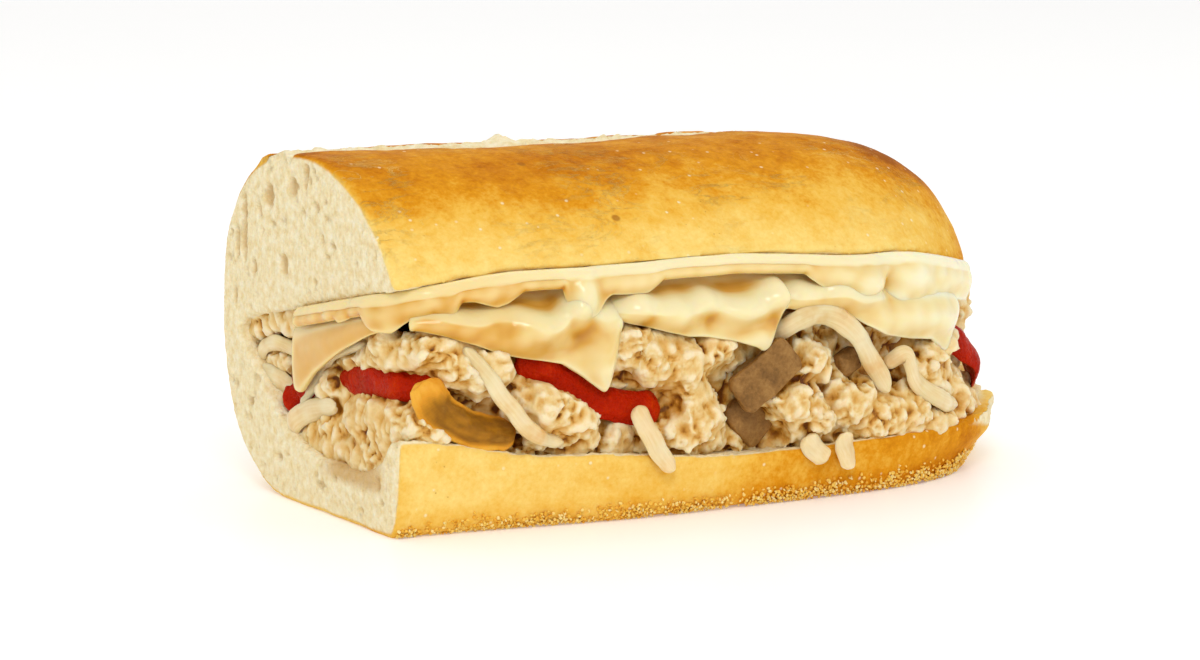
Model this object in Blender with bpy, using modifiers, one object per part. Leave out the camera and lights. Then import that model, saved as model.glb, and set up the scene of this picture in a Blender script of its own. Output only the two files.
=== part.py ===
"""Half of a long hinged sub roll, filled with chopped chicken, peppers, onion and mushroom under melted cheese.

Metres, +Z up. The roll lies along X with its cut end at -X and its baked end at +X.
The mouth of the roll opens to -Y, and the hinge that holds the two halves together is at +Y.
Sizes below are in millimetres and are turned into metres when the meshes are made.
"""

import math
import random

import bmesh
import bpy
from mathutils import Vector, noise

MM = 0.001

# The roll: its two ends, its sides at the middle of its length, and its height.
CUT_X = -92.0
END_X = 98.0
TAPER_X = 8.0
FRONT_Y = -52.0
CUT_FRONT_Y = -44.8
BACK_Y = 45.0
CREST_Z = 82.3
CUT_CREST_Z = 83.3
SHOULDER_Z = 46.8
END_SHOULDER_Z = 26.0
TOP_SHORTER = 0.105
BASE_SHORTER = 0.135
BASE_LEAN = 1.6
HINGE_WALL = 9.0
MOUTH_END_X = 95.5
FLOOR_Z = 11.0

# The crumb under the filling: how far it lifts the filling and both lips at the cut end, and more for each mm along.
BED_RISE = 1.65
BED_SLOPE = 0.0087

# How square each quarter of the roll's section is: 2 is an ellipse, more is squarer.
TOP_FRONT = 1.75
TOP_BACK = 2.35
BASE_BACK = 2.7
BASE_FRONT = 16.0

# How blunt the baked end is in plan, and how soon its top falls: less than 1 falls later.
END_FULLNESS = 3.0
TOP_FULLNESS = 0.56

# The torn score along the top crust, just behind the crest.
SCORE_Y = 7.0
SCORE_WIDTH = 13.0
SCORE_DEPTH = 3.2
SCORE_END_X = 74.0

# Gaps and thicknesses.
GAP = 0.35
WELD = 0.004
CHEESE_THICK = 2.4
SHORTEST_HANG = 3.4
ONION_THICK = 1.7
PEPPER_THICK = 2.8
MUSHROOM_THICK = 3.4

# How finely the big shapes are divided.
ROLL_STATIONS = 24
RING_POINTS = 32
STRIP_STEPS = 6

rng = random.Random(7)


def clear_scene():
    for obj in list(bpy.data.objects):
        bpy.data.objects.remove(obj, do_unlink=True)


def collection(name):
    made = bpy.data.collections.new(name)
    bpy.context.scene.collection.children.link(made)
    return made


def material(name, colour, roughness):
    made = bpy.data.materials.new(name)
    made.use_nodes = True
    shader = made.node_tree.nodes["Principled BSDF"]
    shader.inputs["Base Color"].default_value = (*colour, 1.0)
    shader.inputs["Roughness"].default_value = roughness
    shader.inputs["Metallic"].default_value = 0.0
    made.diffuse_color = (*colour, 1.0)
    return made


def smooth(low, high, value):
    """0 below low, 1 above high, and an S curve between."""
    t = min(1.0, max(0.0, (value - low) / (high - low)))
    return t * t * (3.0 - 2.0 * t)


def along(value, stops):
    """A smooth curve through (position, value) stops."""
    if value <= stops[0][0]:
        return stops[0][1]
    for (x0, v0), (x1, v1) in zip(stops, stops[1:]):
        if value <= x1:
            return v0 + (v1 - v0) * smooth(x0, x1, value)
    return stops[-1][1]


def power(value, exponent):
    return math.copysign(abs(value) ** exponent, value)


def mesh_object(name, group, bm, look=None):
    """A named object in a collection from a bmesh whose points are in millimetres."""
    bmesh.ops.scale(bm, vec=(MM, MM, MM), verts=bm.verts)
    mesh = bpy.data.meshes.new(name)
    bm.to_mesh(mesh)
    bm.free()
    obj = bpy.data.objects.new(name, mesh)
    group.objects.link(obj)
    if look:
        mesh.materials.append(look)
    return obj


def loft(rings):
    """A closed bmesh through rings of equal length, with a fan of triangles on each end."""
    bm = bmesh.new()
    rows = [[bm.verts.new(p) for p in ring] for ring in rings]
    count = len(rows[0])
    for low, high in zip(rows, rows[1:]):
        for i in range(count):
            j = (i + 1) % count
            bm.faces.new((low[i], low[j], high[j], high[i]))
    for row in (rows[0], rows[-1]):
        hub = bm.verts.new(sum((v.co for v in row), Vector()) / count)
        for i in range(count):
            bm.faces.new((row[i], row[(i + 1) % count], hub))
    bmesh.ops.recalc_face_normals(bm, faces=bm.faces)
    bmesh.ops.triangulate(bm, faces=bm.faces)
    return bm


def settle(obj):
    """Applies the modifiers, welds, and keeps the largest closed body."""
    view = bpy.context.evaluated_depsgraph_get()
    mesh = bpy.data.meshes.new_from_object(obj.evaluated_get(view))
    obj.modifiers.clear()
    obj.data = mesh
    bm = bmesh.new()
    bm.from_mesh(mesh)
    bmesh.ops.remove_doubles(bm, verts=bm.verts, dist=WELD * MM)
    bmesh.ops.dissolve_degenerate(bm, edges=bm.edges, dist=WELD * MM)
    bmesh.ops.triangulate(bm, faces=bm.faces)
    islands = []
    left = set(bm.verts)
    while left:
        found = set()
        edge = {left.pop()}
        while edge:
            found |= edge
            edge = {e.other_vert(v) for v in edge for e in v.link_edges} - found
        left -= found
        islands.append(found)
    islands.sort(key=len)
    scraps = [v for island in islands[:-1] for v in island]
    bmesh.ops.delete(bm, geom=scraps, context="VERTS")
    bm.to_mesh(mesh)
    bm.free()
    return obj


def clearance(obj):
    """The mesh of a closed object with its surface moved out by the gap."""
    mesh = obj.data.copy()
    bm = bmesh.new()
    bm.from_mesh(mesh)
    bm.normal_update()
    shifts = [vert.normal * min(2.0, vert.calc_shell_factor()) * GAP * MM for vert in bm.verts]
    for vert, shift in zip(bm.verts, shifts):
        vert.co += shift
    bm.to_mesh(mesh)
    bm.free()
    return mesh


def combine(obj, group, operation):
    """One Boolean with everything in a collection, applied, with the collection emptied."""
    boolean = obj.modifiers.new("join", "BOOLEAN")
    boolean.operation = operation
    boolean.operand_type = "COLLECTION"
    boolean.collection = group
    boolean.solver = "EXACT"
    settle(obj)
    for used in list(group.objects):
        bpy.data.objects.remove(used, do_unlink=True)
    return obj


def carve(obj, spaces, group):
    """Cuts an object back so that it stays out of the spaces of its neighbours."""
    for mesh in spaces:
        cutter = bpy.data.objects.new(mesh.name + "_space", mesh)
        cutter.hide_render = True
        cutter.display_type = "WIRE"
        group.objects.link(cutter)
    return combine(obj, group, "DIFFERENCE")


# The roll's outline. Every function takes a station x along the roll.


def end_taper(x):
    """1 along the roll, falling to 0 in a rounded end."""
    t = min(1.0, max(0.0, (x - TAPER_X) / (END_X - TAPER_X)))
    return math.sqrt(max(0.0, 1.0 - t**END_FULLNESS))


def bed(x):
    """How far the crumb under the filling lifts it at a station x."""
    return BED_RISE + BED_SLOPE * (x - CUT_X)


def side_y(x):
    """The outermost front and back of the roll at its shoulder."""
    front = along(x, [(CUT_X, CUT_FRONT_Y), (-20.0, FRONT_Y), (END_X, FRONT_Y)])
    middle = (front + BACK_Y) / 2.0
    half = (BACK_Y - front) / 2.0 * end_taper(x)
    return middle - half, middle + half


def shoulder_z(x):
    return along(x, [(20.0, SHOULDER_Z), (END_X, END_SHOULDER_Z)])


def crest_z(x):
    top = along(x, [(CUT_X, CUT_CREST_Z), (-10.0, CREST_Z)])
    return shoulder_z(x) + (top - shoulder_z(x)) * end_taper(x) ** TOP_FULLNESS


def score_relief(x, y):
    """Depth of the torn score: a steep crust edge, a sloping torn floor and a raised flap behind."""
    wander = 3.0 * math.sin(x / 23.0) + 1.5 * math.sin(x / 7.0)
    across = (y - SCORE_Y - wander) / SCORE_WIDTH
    reach = 1.0 - smooth(SCORE_END_X - 25.0, SCORE_END_X, x)
    if across < 0.0 or across > 1.6:
        return 0.0
    if across < 1.0:
        floor = smooth(0.0, 0.18, across) * (1.0 - across)
        return -SCORE_DEPTH * floor * reach
    return 0.45 * SCORE_DEPTH * math.sin((across - 1.0) / 0.6 * math.pi) * reach


def ring_angles():
    """Angles round a section, closer together over the score on the crest."""
    plain = [2.0 * math.pi * i / (RING_POINTS - 8) for i in range(RING_POINTS - 8)]
    extra = [math.radians(60.0 + 4.6 * i) for i in range(8)]
    return sorted(plain + extra)


def end_shift(x, z):
    """How far a point is pulled in from the baked end: the top is shorter than the base, and the base is a bow."""
    share = TOP_SHORTER * smooth(12.0, 44.0, z) + BASE_SHORTER * (1.0 - smooth(0.0, 14.0, z))
    return share * smooth(TAPER_X, END_X, x) * (x - TAPER_X)


def roll_ring(x):
    """One section of the whole roll, as points round the X axis from +Y over the crest."""
    front, back = side_y(x)
    middle = (front + back) / 2.0
    waist = shoulder_z(x)
    base_rise = waist * (1.0 - smooth(0.0, 0.5, end_taper(x))) * 0.7
    ring = []
    for angle in ring_angles():
        c, s = math.cos(angle), math.sin(angle)
        if s > 0.0:
            square = TOP_BACK if c > 0.0 else TOP_FRONT
            y = middle + (back - middle) * power(c, 2.0 / square)
            z = waist + (crest_z(x) - waist) * power(s, 2.0 / square)
            z += score_relief(x, y)
        else:
            square = BASE_BACK if c > 0.0 else BASE_FRONT
            y = middle + (back - middle) * power(c, 2.0 / square)
            z = max(0.0, waist + (waist + 1.2 - base_rise) * power(s, 2.0 / square))
            if c < 0.0:
                y += BASE_LEAN * (1.0 - smooth(0.0, 22.0, z))
        ring.append(Vector((x - end_shift(x, z), y, z)))
    return ring


def top_lip(x):
    """The point of the top crust's front edge, just over the mouth."""
    front, back = side_y(x)
    middle = (front + back) / 2.0
    waist = shoulder_z(x)
    z = upper_lip_z(x)
    rise = min(1.0, (z - waist) / (crest_z(x) - waist)) ** (TOP_FRONT / 2.0)
    y = middle - (middle - front) * math.sqrt(1.0 - rise * rise) ** (2.0 / TOP_FRONT)
    return x - end_shift(x, z), y


def roll_stations():
    """Stations along the roll, closer together where the end rounds off."""
    steps = [i / (ROLL_STATIONS - 1) for i in range(ROLL_STATIONS)]
    return [CUT_X + (END_X - 0.4 - CUT_X) * math.sin(t * math.pi / 2.0) ** 0.97 for t in steps]


# The mouth of the roll: its upper face, its lower lip, and the floor of the trough.


def upper_lip_z(x):
    return bed(x) + along(x, [(CUT_X, 56.3), (-60.0, 59.0), (-10.0, 59.3), (40.0, 56.0), (90.0, 48.5)])


def lower_lip_z(x):
    return bed(x) + along(x, [(CUT_X, 21.5), (-50.0, 15.0), (0.0, 11.0), (60.0, 11.0), (95.0, 12.5)])


def floor_z(x):
    return bed(x) + FLOOR_Z


def hinge_y(x):
    return side_y(x)[1] - HINGE_WALL * (0.55 + 0.45 * end_taper(x))


def roof_z(x, y):
    """The underside of the upper half at a point in the mouth."""
    front = side_y(x)[0]
    share = (y - front) / max(1.0, hinge_y(x) - front)
    fall = along(x, [(CUT_X, 18.0), (20.0, 17.0), (95.0, 12.0)])
    return upper_lip_z(x) - fall * max(-0.3, share) * (1.0 if share > 0.0 else 0.4)


def mouth_ring(station):
    """One section of the wedge that is cut out of the roll. Past the roll's nose it stays the same."""
    x = min(station, MOUTH_END_X)
    front, _ = side_y(x)
    tip = hinge_y(x)
    width = max(8.0, tip - front)
    lip = lower_lip_z(x)
    floor = min(floor_z(x), lip - 1.5)
    roof = [(front + width * t, roof_z(x, front + width * t)) for t in (0.0, 0.2, 0.4, 0.6, 0.8, 0.94)]
    tip_z = roof_z(x, tip) - 1.5
    lower = [
        (tip - width * 0.02, tip_z - 3.0),
        (tip - width * 0.1, tip_z - 8.5),
        (tip - width * 0.22, floor + 9.0),
        (tip - width * 0.36, floor + 2.5),
        (tip - width * 0.5, floor),
        (front + width * 0.24, floor),
        (front + width * 0.13, floor + 0.35 * (lip - floor)),
        (front + width * 0.07, lip - 0.8),
        (front + width * 0.02, lip),
    ]
    outline = [(front - 30.0, upper_lip_z(x) + 4.0)] + roof + [(tip, tip_z)] + lower
    outline.append((front - 30.0, lip - 2.0))
    return [Vector((station, y, z)) for y, z in outline]


def make_roll(group, cutters, look):
    rings = [roll_ring(x) for x in roll_stations()]
    roll = mesh_object("roll", group, loft(rings), look)
    stations = [CUT_X - 8.0 + (END_X + 16.0 - CUT_X) * i / 21.0 for i in range(22)]
    mesh_object("mouth", cutters, loft([mouth_ring(x) for x in stations]))
    combine(roll, cutters, "DIFFERENCE")
    return roll


# The path that the cheese hangs from: from the back of the cut face, round its front corner, along the lip.


def catmull(points, steps):
    """A smooth curve through points, as a list with some steps between each pair."""
    fitted = [Vector(p) for p in points]
    fitted = [2 * fitted[0] - fitted[1], *fitted, 2 * fitted[-1] - fitted[-2]]
    curve = []
    for a, b, c, d in zip(fitted, fitted[1:], fitted[2:], fitted[3:]):
        for i in range(steps):
            t = i / steps
            curve.append(
                0.5 * (2 * b + (c - a) * t + (2 * a - 5 * b + 4 * c - d) * t * t + (3 * b - a - 3 * c + d) * t**3)
            )
    curve.append(fitted[-2])
    return curve


RIM_START = [(-91.4, 16.0), (-91.6, -6.0), (-91.0, -27.0), (-87.2, -37.2)]
RIM_STATIONS = (-76.0, -52.0, -22.0, 8.0, 34.0, 58.0, 75.0, 86.0, 93.0)
RIM_CORNER = 55.0
RIM_CURVE = catmull(RIM_START + [top_lip(x) for x in RIM_STATIONS], 12)
RIM_LENGTH = [0.0]
for before, after in zip(RIM_CURVE, RIM_CURVE[1:]):
    RIM_LENGTH.append(RIM_LENGTH[-1] + (after - before).length)


def rim_at(s):
    """The point on the rim path at a length s, and the outward direction there."""
    s = min(max(s, 0.0), RIM_LENGTH[-1] - 1e-6)
    i = max(k for k, length in enumerate(RIM_LENGTH[:-1]) if length <= s)
    share = (s - RIM_LENGTH[i]) / (RIM_LENGTH[i + 1] - RIM_LENGTH[i])
    point = RIM_CURVE[i].lerp(RIM_CURVE[i + 1], share)
    run = (RIM_CURVE[i + 1] - RIM_CURVE[i]).normalized()
    return point, Vector((run.y, -run.x))


def rim_to(x):
    """The length along the rim at which its front reaches a station x."""
    for length, point in zip(RIM_LENGTH, RIM_CURVE):
        if point.x >= x and length > 50.0:
            return length
    return RIM_LENGTH[-1]


def ramp(value, stops):
    """Straight lines through (position, value) stops."""
    if value <= stops[0][0]:
        return stops[0][1]
    for (x0, v0), (x1, v1) in zip(stops, stops[1:]):
        if value <= x1:
            return v0 + (v1 - v0) * (value - x0) / (x1 - x0)
    return stops[-1][1]


def bumps(spots):
    """Outward swelling of a slice, from (length along the rim, height, radius, size) of each bump."""

    def swell(s, z):
        total = 0.0
        for at, level, radius, size in spots:
            total += size * math.exp(-(((s - at) / radius) ** 2) - ((z - level) / (0.7 * radius)) ** 2)
        return total

    return swell


def cheese_sheet(name, group, look, hem, columns, tuck, drop, lean, spots=()):
    """A melted slice that lies under the roof of the mouth, rolls over the lip and hangs down the front.

    hem holds the (length along the rim, height above the bed) stops of its lower edge, from end to end of the slice.
    """
    start, end = hem[0][0], hem[-1][0]
    swell = bumps(spots)
    bm = bmesh.new()
    grid = []
    for i in range(columns + 1):
        s = start + (end - start) * i / columns
        point, out = rim_at(s)
        line = []
        reach = tuck * (1.0 - 0.62 * math.exp(-(((s - RIM_CORNER) / 15.0) ** 2)))
        for share in (1.0, 0.12):
            at = point - out * reach * share
            line.append(bm.verts.new(Vector((at.x, at.y, roof_z(at.x, at.y) - drop))))
        edge = roof_z(point.x, point.y) - drop - 0.8
        rise = bed(point.x)
        low = min(rise + ramp(s, hem), edge - SHORTEST_HANG)
        flare = lean * min(1.0, (edge - low) / 8.0)
        for share in (0.0, 0.45, 1.0):
            z = edge + (low - edge) * share
            at = point + out * (0.6 + flare * smooth(0.0, 0.7, share) + swell(s, z - rise))
            line.append(bm.verts.new(Vector((at.x, at.y, z))))
        grid.append(line)
    for left, right in zip(grid, grid[1:]):
        for j in range(len(left) - 1):
            bm.faces.new((left[j], right[j], right[j + 1], left[j + 1]))
    bmesh.ops.triangulate(bm, faces=bm.faces)
    sheet = mesh_object(name, group, bm, look)
    solid = sheet.modifiers.new("thickness", "SOLIDIFY")
    solid.thickness = CHEESE_THICK * MM
    solid.offset = 0.0
    return settle(sheet)


def along_lip(stops):
    """Turns (station x, height) stops into (length along the rim, height) stops."""
    return [(rim_to(x), z) for x, z in stops]


# The lower edge of each slice: (length along the rim, height) on the cut face, (station x, height) on the front.
# These heights, and those of the strips and lumps below, are above the bed of crumb.

MELT_CUT_HEM = [(12.0, 44.8), (20.4, 44.4), (27.9, 47.5), (33.8, 46.4), (38.7, 48.5), (42.0, 49.8), (45.3, 45.5)]
MELT_LIP_HEM = [
    (-88.0, 46.5), (-81.0, 47.5), (-78.5, 52.5), (-67.0, 51.0), (-58.0, 54.5), (-52.0, 55.5), (-48.0, 48.5),
    (-41.5, 48.0), (-38.0, 51.0), (-28.0, 51.5), (-22.0, 55.0), (-8.0, 55.5), (14.0, 54.0), (30.0, 50.5),
    (45.0, 49.5), (60.0, 46.5), (73.0, 42.5),
]
SLICE_CUT_HEM = [(8.0, 26.5), (9.5, 25.3), (11.6, 25.5), (17.6, 30.5), (32.6, 38.6), (44.0, 43.7)]
SLICE_LIP_HEMS = {
    "cheese_slice_middle": [
        (-84.5, 46.6), (-76.3, 43.9), (-65.8, 39.7), (-49.8, 35.7), (-44.4, 32.2), (-38.8, 28.4), (-36.8, 34.5),
        (-35.0, 44.0),
    ],
    "cheese_slice_right": [
        (-33.8, 45.0), (-24.0, 42.2), (-17.1, 39.9), (-5.9, 38.2), (1.2, 36.0), (3.7, 34.5), (6.8, 39.8), (7.6, 42.9),
    ],
    "cheese_slice_baked_end": [
        (9.4, 44.0), (16.0, 44.2), (26.0, 42.8), (32.0, 38.7), (38.0, 35.7), (48.0, 33.4), (58.0, 32.1), (63.5, 27.8),
        (66.8, 37.0),
    ],
}
SLICE_BUMPS = {
    "cheese_slice_middle": [(-57.0, 45.0, 9.0, 2.6)],
    "cheese_slice_right": [(-22.0, 46.0, 9.0, 2.2), (-5.0, 45.0, 8.0, 1.8)],
    "cheese_slice_baked_end": [(27.0, 48.0, 10.0, 2.0), (52.0, 45.0, 12.0, 1.6)],
}


def make_melt(group, look):
    hem = MELT_CUT_HEM + along_lip(MELT_LIP_HEM)
    return cheese_sheet("cheese_melt", group, look, hem, 32, 13.0, 1.9, 1.8)


def make_slices(group, look):
    made = [cheese_sheet("cheese_slice_cut_end", group, look, SLICE_CUT_HEM, 8, 14.0, 5.0, 0.6)]
    for name, stops in SLICE_LIP_HEMS.items():
        spots = [(rim_to(x), z, radius, size) for x, z, radius, size in SLICE_BUMPS[name]]
        columns = round((stops[-1][0] - stops[0][0]) / 4.4)
        made.append(cheese_sheet(name, group, look, along_lip(stops), columns, 17.0, 5.2, 3.2, spots))
    return made


# Strips of pepper, onion and mushroom: a bent ribbon with a thickness.


def strip(name, group, look, path, width, thick, facing=(0.0, -1.0, 0.0), cup=0.0, tip=0.55):
    """A ribbon along a path of points above the bed, width across, its wide face turned to a direction."""
    curve = catmull([(x, y, z + bed(x)) for x, y, z in path], STRIP_STEPS // (len(path) - 1) + 1)
    aim = Vector(facing).normalized()
    bm = bmesh.new()
    grid = []
    for i, point in enumerate(curve):
        run = (curve[min(i + 1, len(curve) - 1)] - curve[max(i - 1, 0)]).normalized()
        side = run.cross(aim).normalized()
        out = side.cross(run).normalized()
        t = i / (len(curve) - 1)
        reach = width / 2.0 * (tip + (1.0 - tip) * math.sin(math.pi * min(1.0, 0.12 + 0.76 * t)) ** 0.6)
        row = []
        for across in (-1.0, 0.0, 1.0):
            row.append(bm.verts.new(point + side * reach * across - out * cup * across * across))
        grid.append(row)
    for left, right in zip(grid, grid[1:]):
        for j in range(2):
            bm.faces.new((left[j], right[j], right[j + 1], left[j + 1]))
    bmesh.ops.triangulate(bm, faces=bm.faces)
    ribbon = mesh_object(name, group, bm, look)
    solid = ribbon.modifiers.new("thickness", "SOLIDIFY")
    solid.thickness = thick * MM
    solid.offset = 0.0
    return settle(ribbon)


LEFT = (-1.0, 0.0, 0.0)

RED_PEPPERS = {
    "red_pepper_cut_end": ([(-88.6, 17.0, 20.5), (-88.8, 11.0, 25.0), (-88.4, 4.0, 29.5)], 9.0, LEFT),
    "red_pepper_corner": (
        [(-88.4, -7.0, 30.5), (-88.6, -19.0, 30.8), (-87.4, -32.0, 32.0), (-83.0, -41.5, 32.6)],
        7.5,
        (-0.8, -0.6, 0.0),
    ),
    "red_pepper_middle": (
        [(-60.0, -42.0, 37.0), (-49.5, -43.4, 33.0), (-39.0, -44.6, 26.5), (-30.0, -45.4, 23.6), (-23.0, -44.8, 23.4)],
        8.5,
        (0.0, -1.0, 0.25),
    ),
    "red_pepper_baked_end": ([(70.0, -31.5, 31.5), (78.5, -28.5, 25.0), (85.0, -23.0, 16.5)], 9.0, (0.75, -0.65, 0.25)),
}

GREEN_PEPPERS = {
    "green_pepper": (
        [(-84.0, -41.5, 34.5), (-82.0, -44.2, 28.5), (-74.0, -45.4, 23.4), (-62.0, -44.8, 20.8)],
        9.5,
        (-0.1, -1.0, 0.3),
    ),
}

ONIONS = {
    "onion_strand": (
        [(-75.5, -45.2, 42.0), (-70.6, -48.6, 35.5), (-66.0, -49.2, 28.0), (-59.5, -48.8, 21.2), (-50.0, -47.4, 17.8)],
        4.4,
        (0.0, -1.0, 0.1),
    ),
    "onion_over_lip": ([(-31.5, -48.2, 24.5), (-28.6, -52.2, 17.5), (-24.4, -53.6, 9.6)], 5.6, (0.1, -1.0, 0.25)),
    "onion_arch": (
        [(6.4, -44.6, 36.0), (12.6, -49.2, 41.0), (20.0, -50.4, 42.4), (27.5, -50.4, 38.2), (34.0, -49.8, 30.5),
         (40.0, -48.6, 21.4)],
        5.8,
        (0.0, -1.0, 0.15),
    ),
    "onion_curl": (
        [(40.5, -46.5, 27.5), (45.5, -47.4, 29.8), (49.0, -48.0, 24.0), (57.0, -46.0, 17.5), (66.5, -40.5, 14.5)],
        5.0,
        (0.1, -1.0, 0.3),
    ),
    "onion_cut_end_arc": (
        [(-90.2, 15.0, 8.8), (-90.4, 11.6, 15.0), (-90.4, 5.4, 20.2), (-89.6, -8.5, 23.6)],
        5.4,
        LEFT,
    ),
    "onion_cut_end_tip": ([(-89.6, 30.5, 25.4), (-89.2, 23.0, 25.6), (-87.4, 15.5, 23.0)], 6.0, LEFT),
    "onion_cut_end_ring": (
        [(-89.4, 31.0, 28.8), (-90.0, 26.0, 33.2), (-89.6, 19.5, 34.6), (-88.4, 12.5, 32.8)],
        4.0,
        LEFT,
    ),
    "onion_under_cheese": (
        [(-88.6, 8.6, 21.0), (-89.0, 2.2, 30.0), (-89.0, -8.0, 36.4), (-88.0, -20.0, 40.2)],
        3.6,
        LEFT,
    ),
    "onion_bit_left": ([(14.4, -51.4, 13.6), (18.6, -53.4, 7.4)], 6.2, (0.0, -1.0, 0.2)),
    "onion_bit_right": ([(24.6, -51.8, 13.4), (26.2, -53.8, 5.2)], 6.4, (0.2, -1.0, 0.2)),
}

MUSHROOMS = {
    "mushroom_slab": ([(-3.0, -47.4, 23.4), (4.0, -48.2, 28.4), (11.5, -48.6, 34.4)], 10.0, (0.0, -1.0, 0.2)),
    "mushroom_low": ([(-1.0, -42.6, 22.0), (3.4, -43.4, 16.6), (7.0, -43.2, 13.0)], 9.0, (0.0, -1.0, 0.0)),
    "mushroom_back": ([(29.0, -44.6, 32.0), (31.4, -45.0, 26.5)], 6.0, (0.0, -1.0, 0.0)),
}


def make_strips(group, looks):
    made = []
    for name, (path, width, facing) in RED_PEPPERS.items():
        made.append(strip(name, group, looks["red_pepper"], path, width, PEPPER_THICK, facing, cup=0.9))
    for name, (path, width, facing) in GREEN_PEPPERS.items():
        made.append(strip(name, group, looks["green_pepper"], path, width, PEPPER_THICK, facing, cup=1.2, tip=0.7))
    for name, (path, width, facing) in ONIONS.items():
        made.append(strip(name, group, looks["onion"], path, width, ONION_THICK, facing, cup=0.4, tip=0.7))
    for name, (path, width, facing) in MUSHROOMS.items():
        made.append(strip(name, group, looks["mushroom"], path, width, MUSHROOM_THICK, facing, tip=0.92))
    return made


# The chopped chicken: a core in the trough with crumbled lumps fused on.

# A lump with a half size over this has four times the faces of a small one.
LARGE_LUMP = 7.3

# Lumps that stand out where the photo shows them: centre, then half sizes along X, Y and Z.
LUMPS = [
    (-87.0, 31.0, 38.2, 6.0, 7.0, 3.6),
    (-87.0, 19.0, 40.2, 5.5, 7.0, 3.4),
    (-86.0, 24.0, 29.6, 5.0, 7.0, 4.4),
    (-86.6, -3.6, 28.0, 4.6, 4.6, 5.0),
    (-85.5, -15.0, 38.4, 5.0, 7.0, 4.2),
    (-85.0, -28.0, 38.4, 6.0, 7.5, 4.6),
    (-80.0, -37.5, 40.0, 7.5, 7.0, 5.0),
    (-86.0, -20.0, 23.0, 5.0, 6.0, 4.2),
    (-85.0, -31.0, 22.6, 7.0, 8.0, 5.6),
    (-80.5, -38.0, 23.4, 8.0, 7.0, 5.2),
    (-72.0, -39.4, 37.0, 8.5, 7.4, 5.6),
    (-62.5, -40.0, 38.0, 6.5, 6.5, 4.4),
    (-54.5, -42.2, 25.6, 7.6, 8.2, 7.6),
    (-47.0, -41.8, 23.6, 7.0, 8.0, 7.4),
    (-31.5, -41.0, 38.6, 6.8, 7.6, 6.4),
    (-24.0, -41.8, 35.0, 7.0, 7.8, 6.4),
    (-17.5, -41.8, 31.0, 7.6, 8.2, 6.4),
    (-15.0, -42.6, 19.6, 9.0, 8.6, 7.2),
    (-23.5, -40.4, 17.6, 6.4, 8.0, 5.4),
    (-8.0, -41.4, 36.0, 6.6, 7.6, 4.8),
    (13.4, -44.0, 19.4, 8.6, 8.6, 7.6),
    (17.6, -43.4, 31.0, 5.6, 7.0, 5.0),
    (9.0, -42.0, 14.6, 7.0, 7.2, 4.2),
    (30.0, -43.0, 19.4, 7.6, 8.6, 6.6),
    (38.0, -42.2, 14.6, 8.6, 8.6, 6.6),
    (47.0, -40.6, 15.0, 7.8, 8.6, 6.0),
    (55.0, -36.2, 22.4, 8.4, 8.8, 7.6),
    (63.0, -33.6, 16.2, 7.0, 7.6, 5.8),
    (59.0, -34.0, 29.5, 7.6, 7.6, 5.0),
    (71.0, -16.0, 32.0, 6.8, 8.0, 6.6),
    (80.0, -6.0, 24.0, 6.0, 8.0, 6.6),
    (79.0, -9.0, 34.0, 5.6, 7.0, 5.2),
]


def lump(name, group, centre, half, detail):
    """A crumbly lump: an icosphere pushed in and out by noise."""
    bm = bmesh.new()
    bmesh.ops.create_icosphere(bm, subdivisions=detail, radius=1.0)
    spin = Vector((rng.random(), rng.random(), rng.random())) * 40.0
    for vert in bm.verts:
        rough = noise.noise(vert.co * 1.7 + spin) * 0.42 + noise.noise(vert.co * 3.4 + spin) * 0.2
        grown = vert.co * (1.0 + rough)
        vert.co = Vector((centre[k] + half[k] * grown[k] for k in range(3)))
        vert.co.z += bed(centre[0])
    return mesh_object(name, group, bm)


def core_ring(x):
    """One section of the chicken's core, a little inside the mouth."""
    front, _ = side_y(x)
    tip = hinge_y(x)
    width = tip - front
    inset = along(x, [(CUT_X, 11.0), (50.0, 12.0), (85.0, 9.0)])
    floor = floor_z(x) + 0.8
    outline = [
        (front + inset, floor + 3.0),
        (front + inset - 2.0, bed(x) + 24.0),
        (front + inset, upper_lip_z(x) - 17.5),
        (front + width * 0.35, roof_z(x, front + width * 0.35) - 11.0),
        (front + width * 0.62, roof_z(x, front + width * 0.62) - 4.5),
        (tip - width * 0.12, roof_z(x, tip - width * 0.12) - 1.2),
        (tip - width * 0.05, roof_z(x, tip) - 4.6),
        (tip - width * 0.13, roof_z(x, tip) - 9.0),
        (tip - width * 0.26, floor + 9.6),
        (tip - width * 0.39, floor + 3.0),
        (tip - width * 0.5, floor),
        (front + width * 0.26, floor),
    ]
    return [Vector((x, y, z)) for y, z in outline]


def filler_lumps(group):
    """Smaller lumps set back along the front, high and low in turn, with a seeded jitter."""
    length = 14.0
    index = 0
    while length < RIM_LENGTH[-1] - 6.0:
        point, out = rim_at(length)
        at = point - out * rng.uniform(7.6, 9.4)
        level = (18.0, 30.0)[index % 2] + rng.uniform(-2.0, 2.0)
        size = rng.uniform(6.0, 7.6)
        lump(f"filler_{index}", group, (at.x, at.y, level), (size, size, size * 0.85), detail=1)
        index += 1
        length += 10.0


def make_chicken(group, lumps, look):
    stations = [CUT_X + 4.0 + (END_X - 18.0 - CUT_X) * i / 10.0 for i in range(11)]
    chicken = mesh_object("chicken", group, loft([core_ring(x) for x in stations]), look)
    for index, (x, y, z, a, b, c) in enumerate(LUMPS):
        lump(f"lump_{index}", lumps, (x, y, z), (a, b, c), detail=2 if max(a, b, c) > LARGE_LUMP else 1)
    filler_lumps(lumps)
    combine(chicken, lumps, "UNION")
    return chicken


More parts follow.
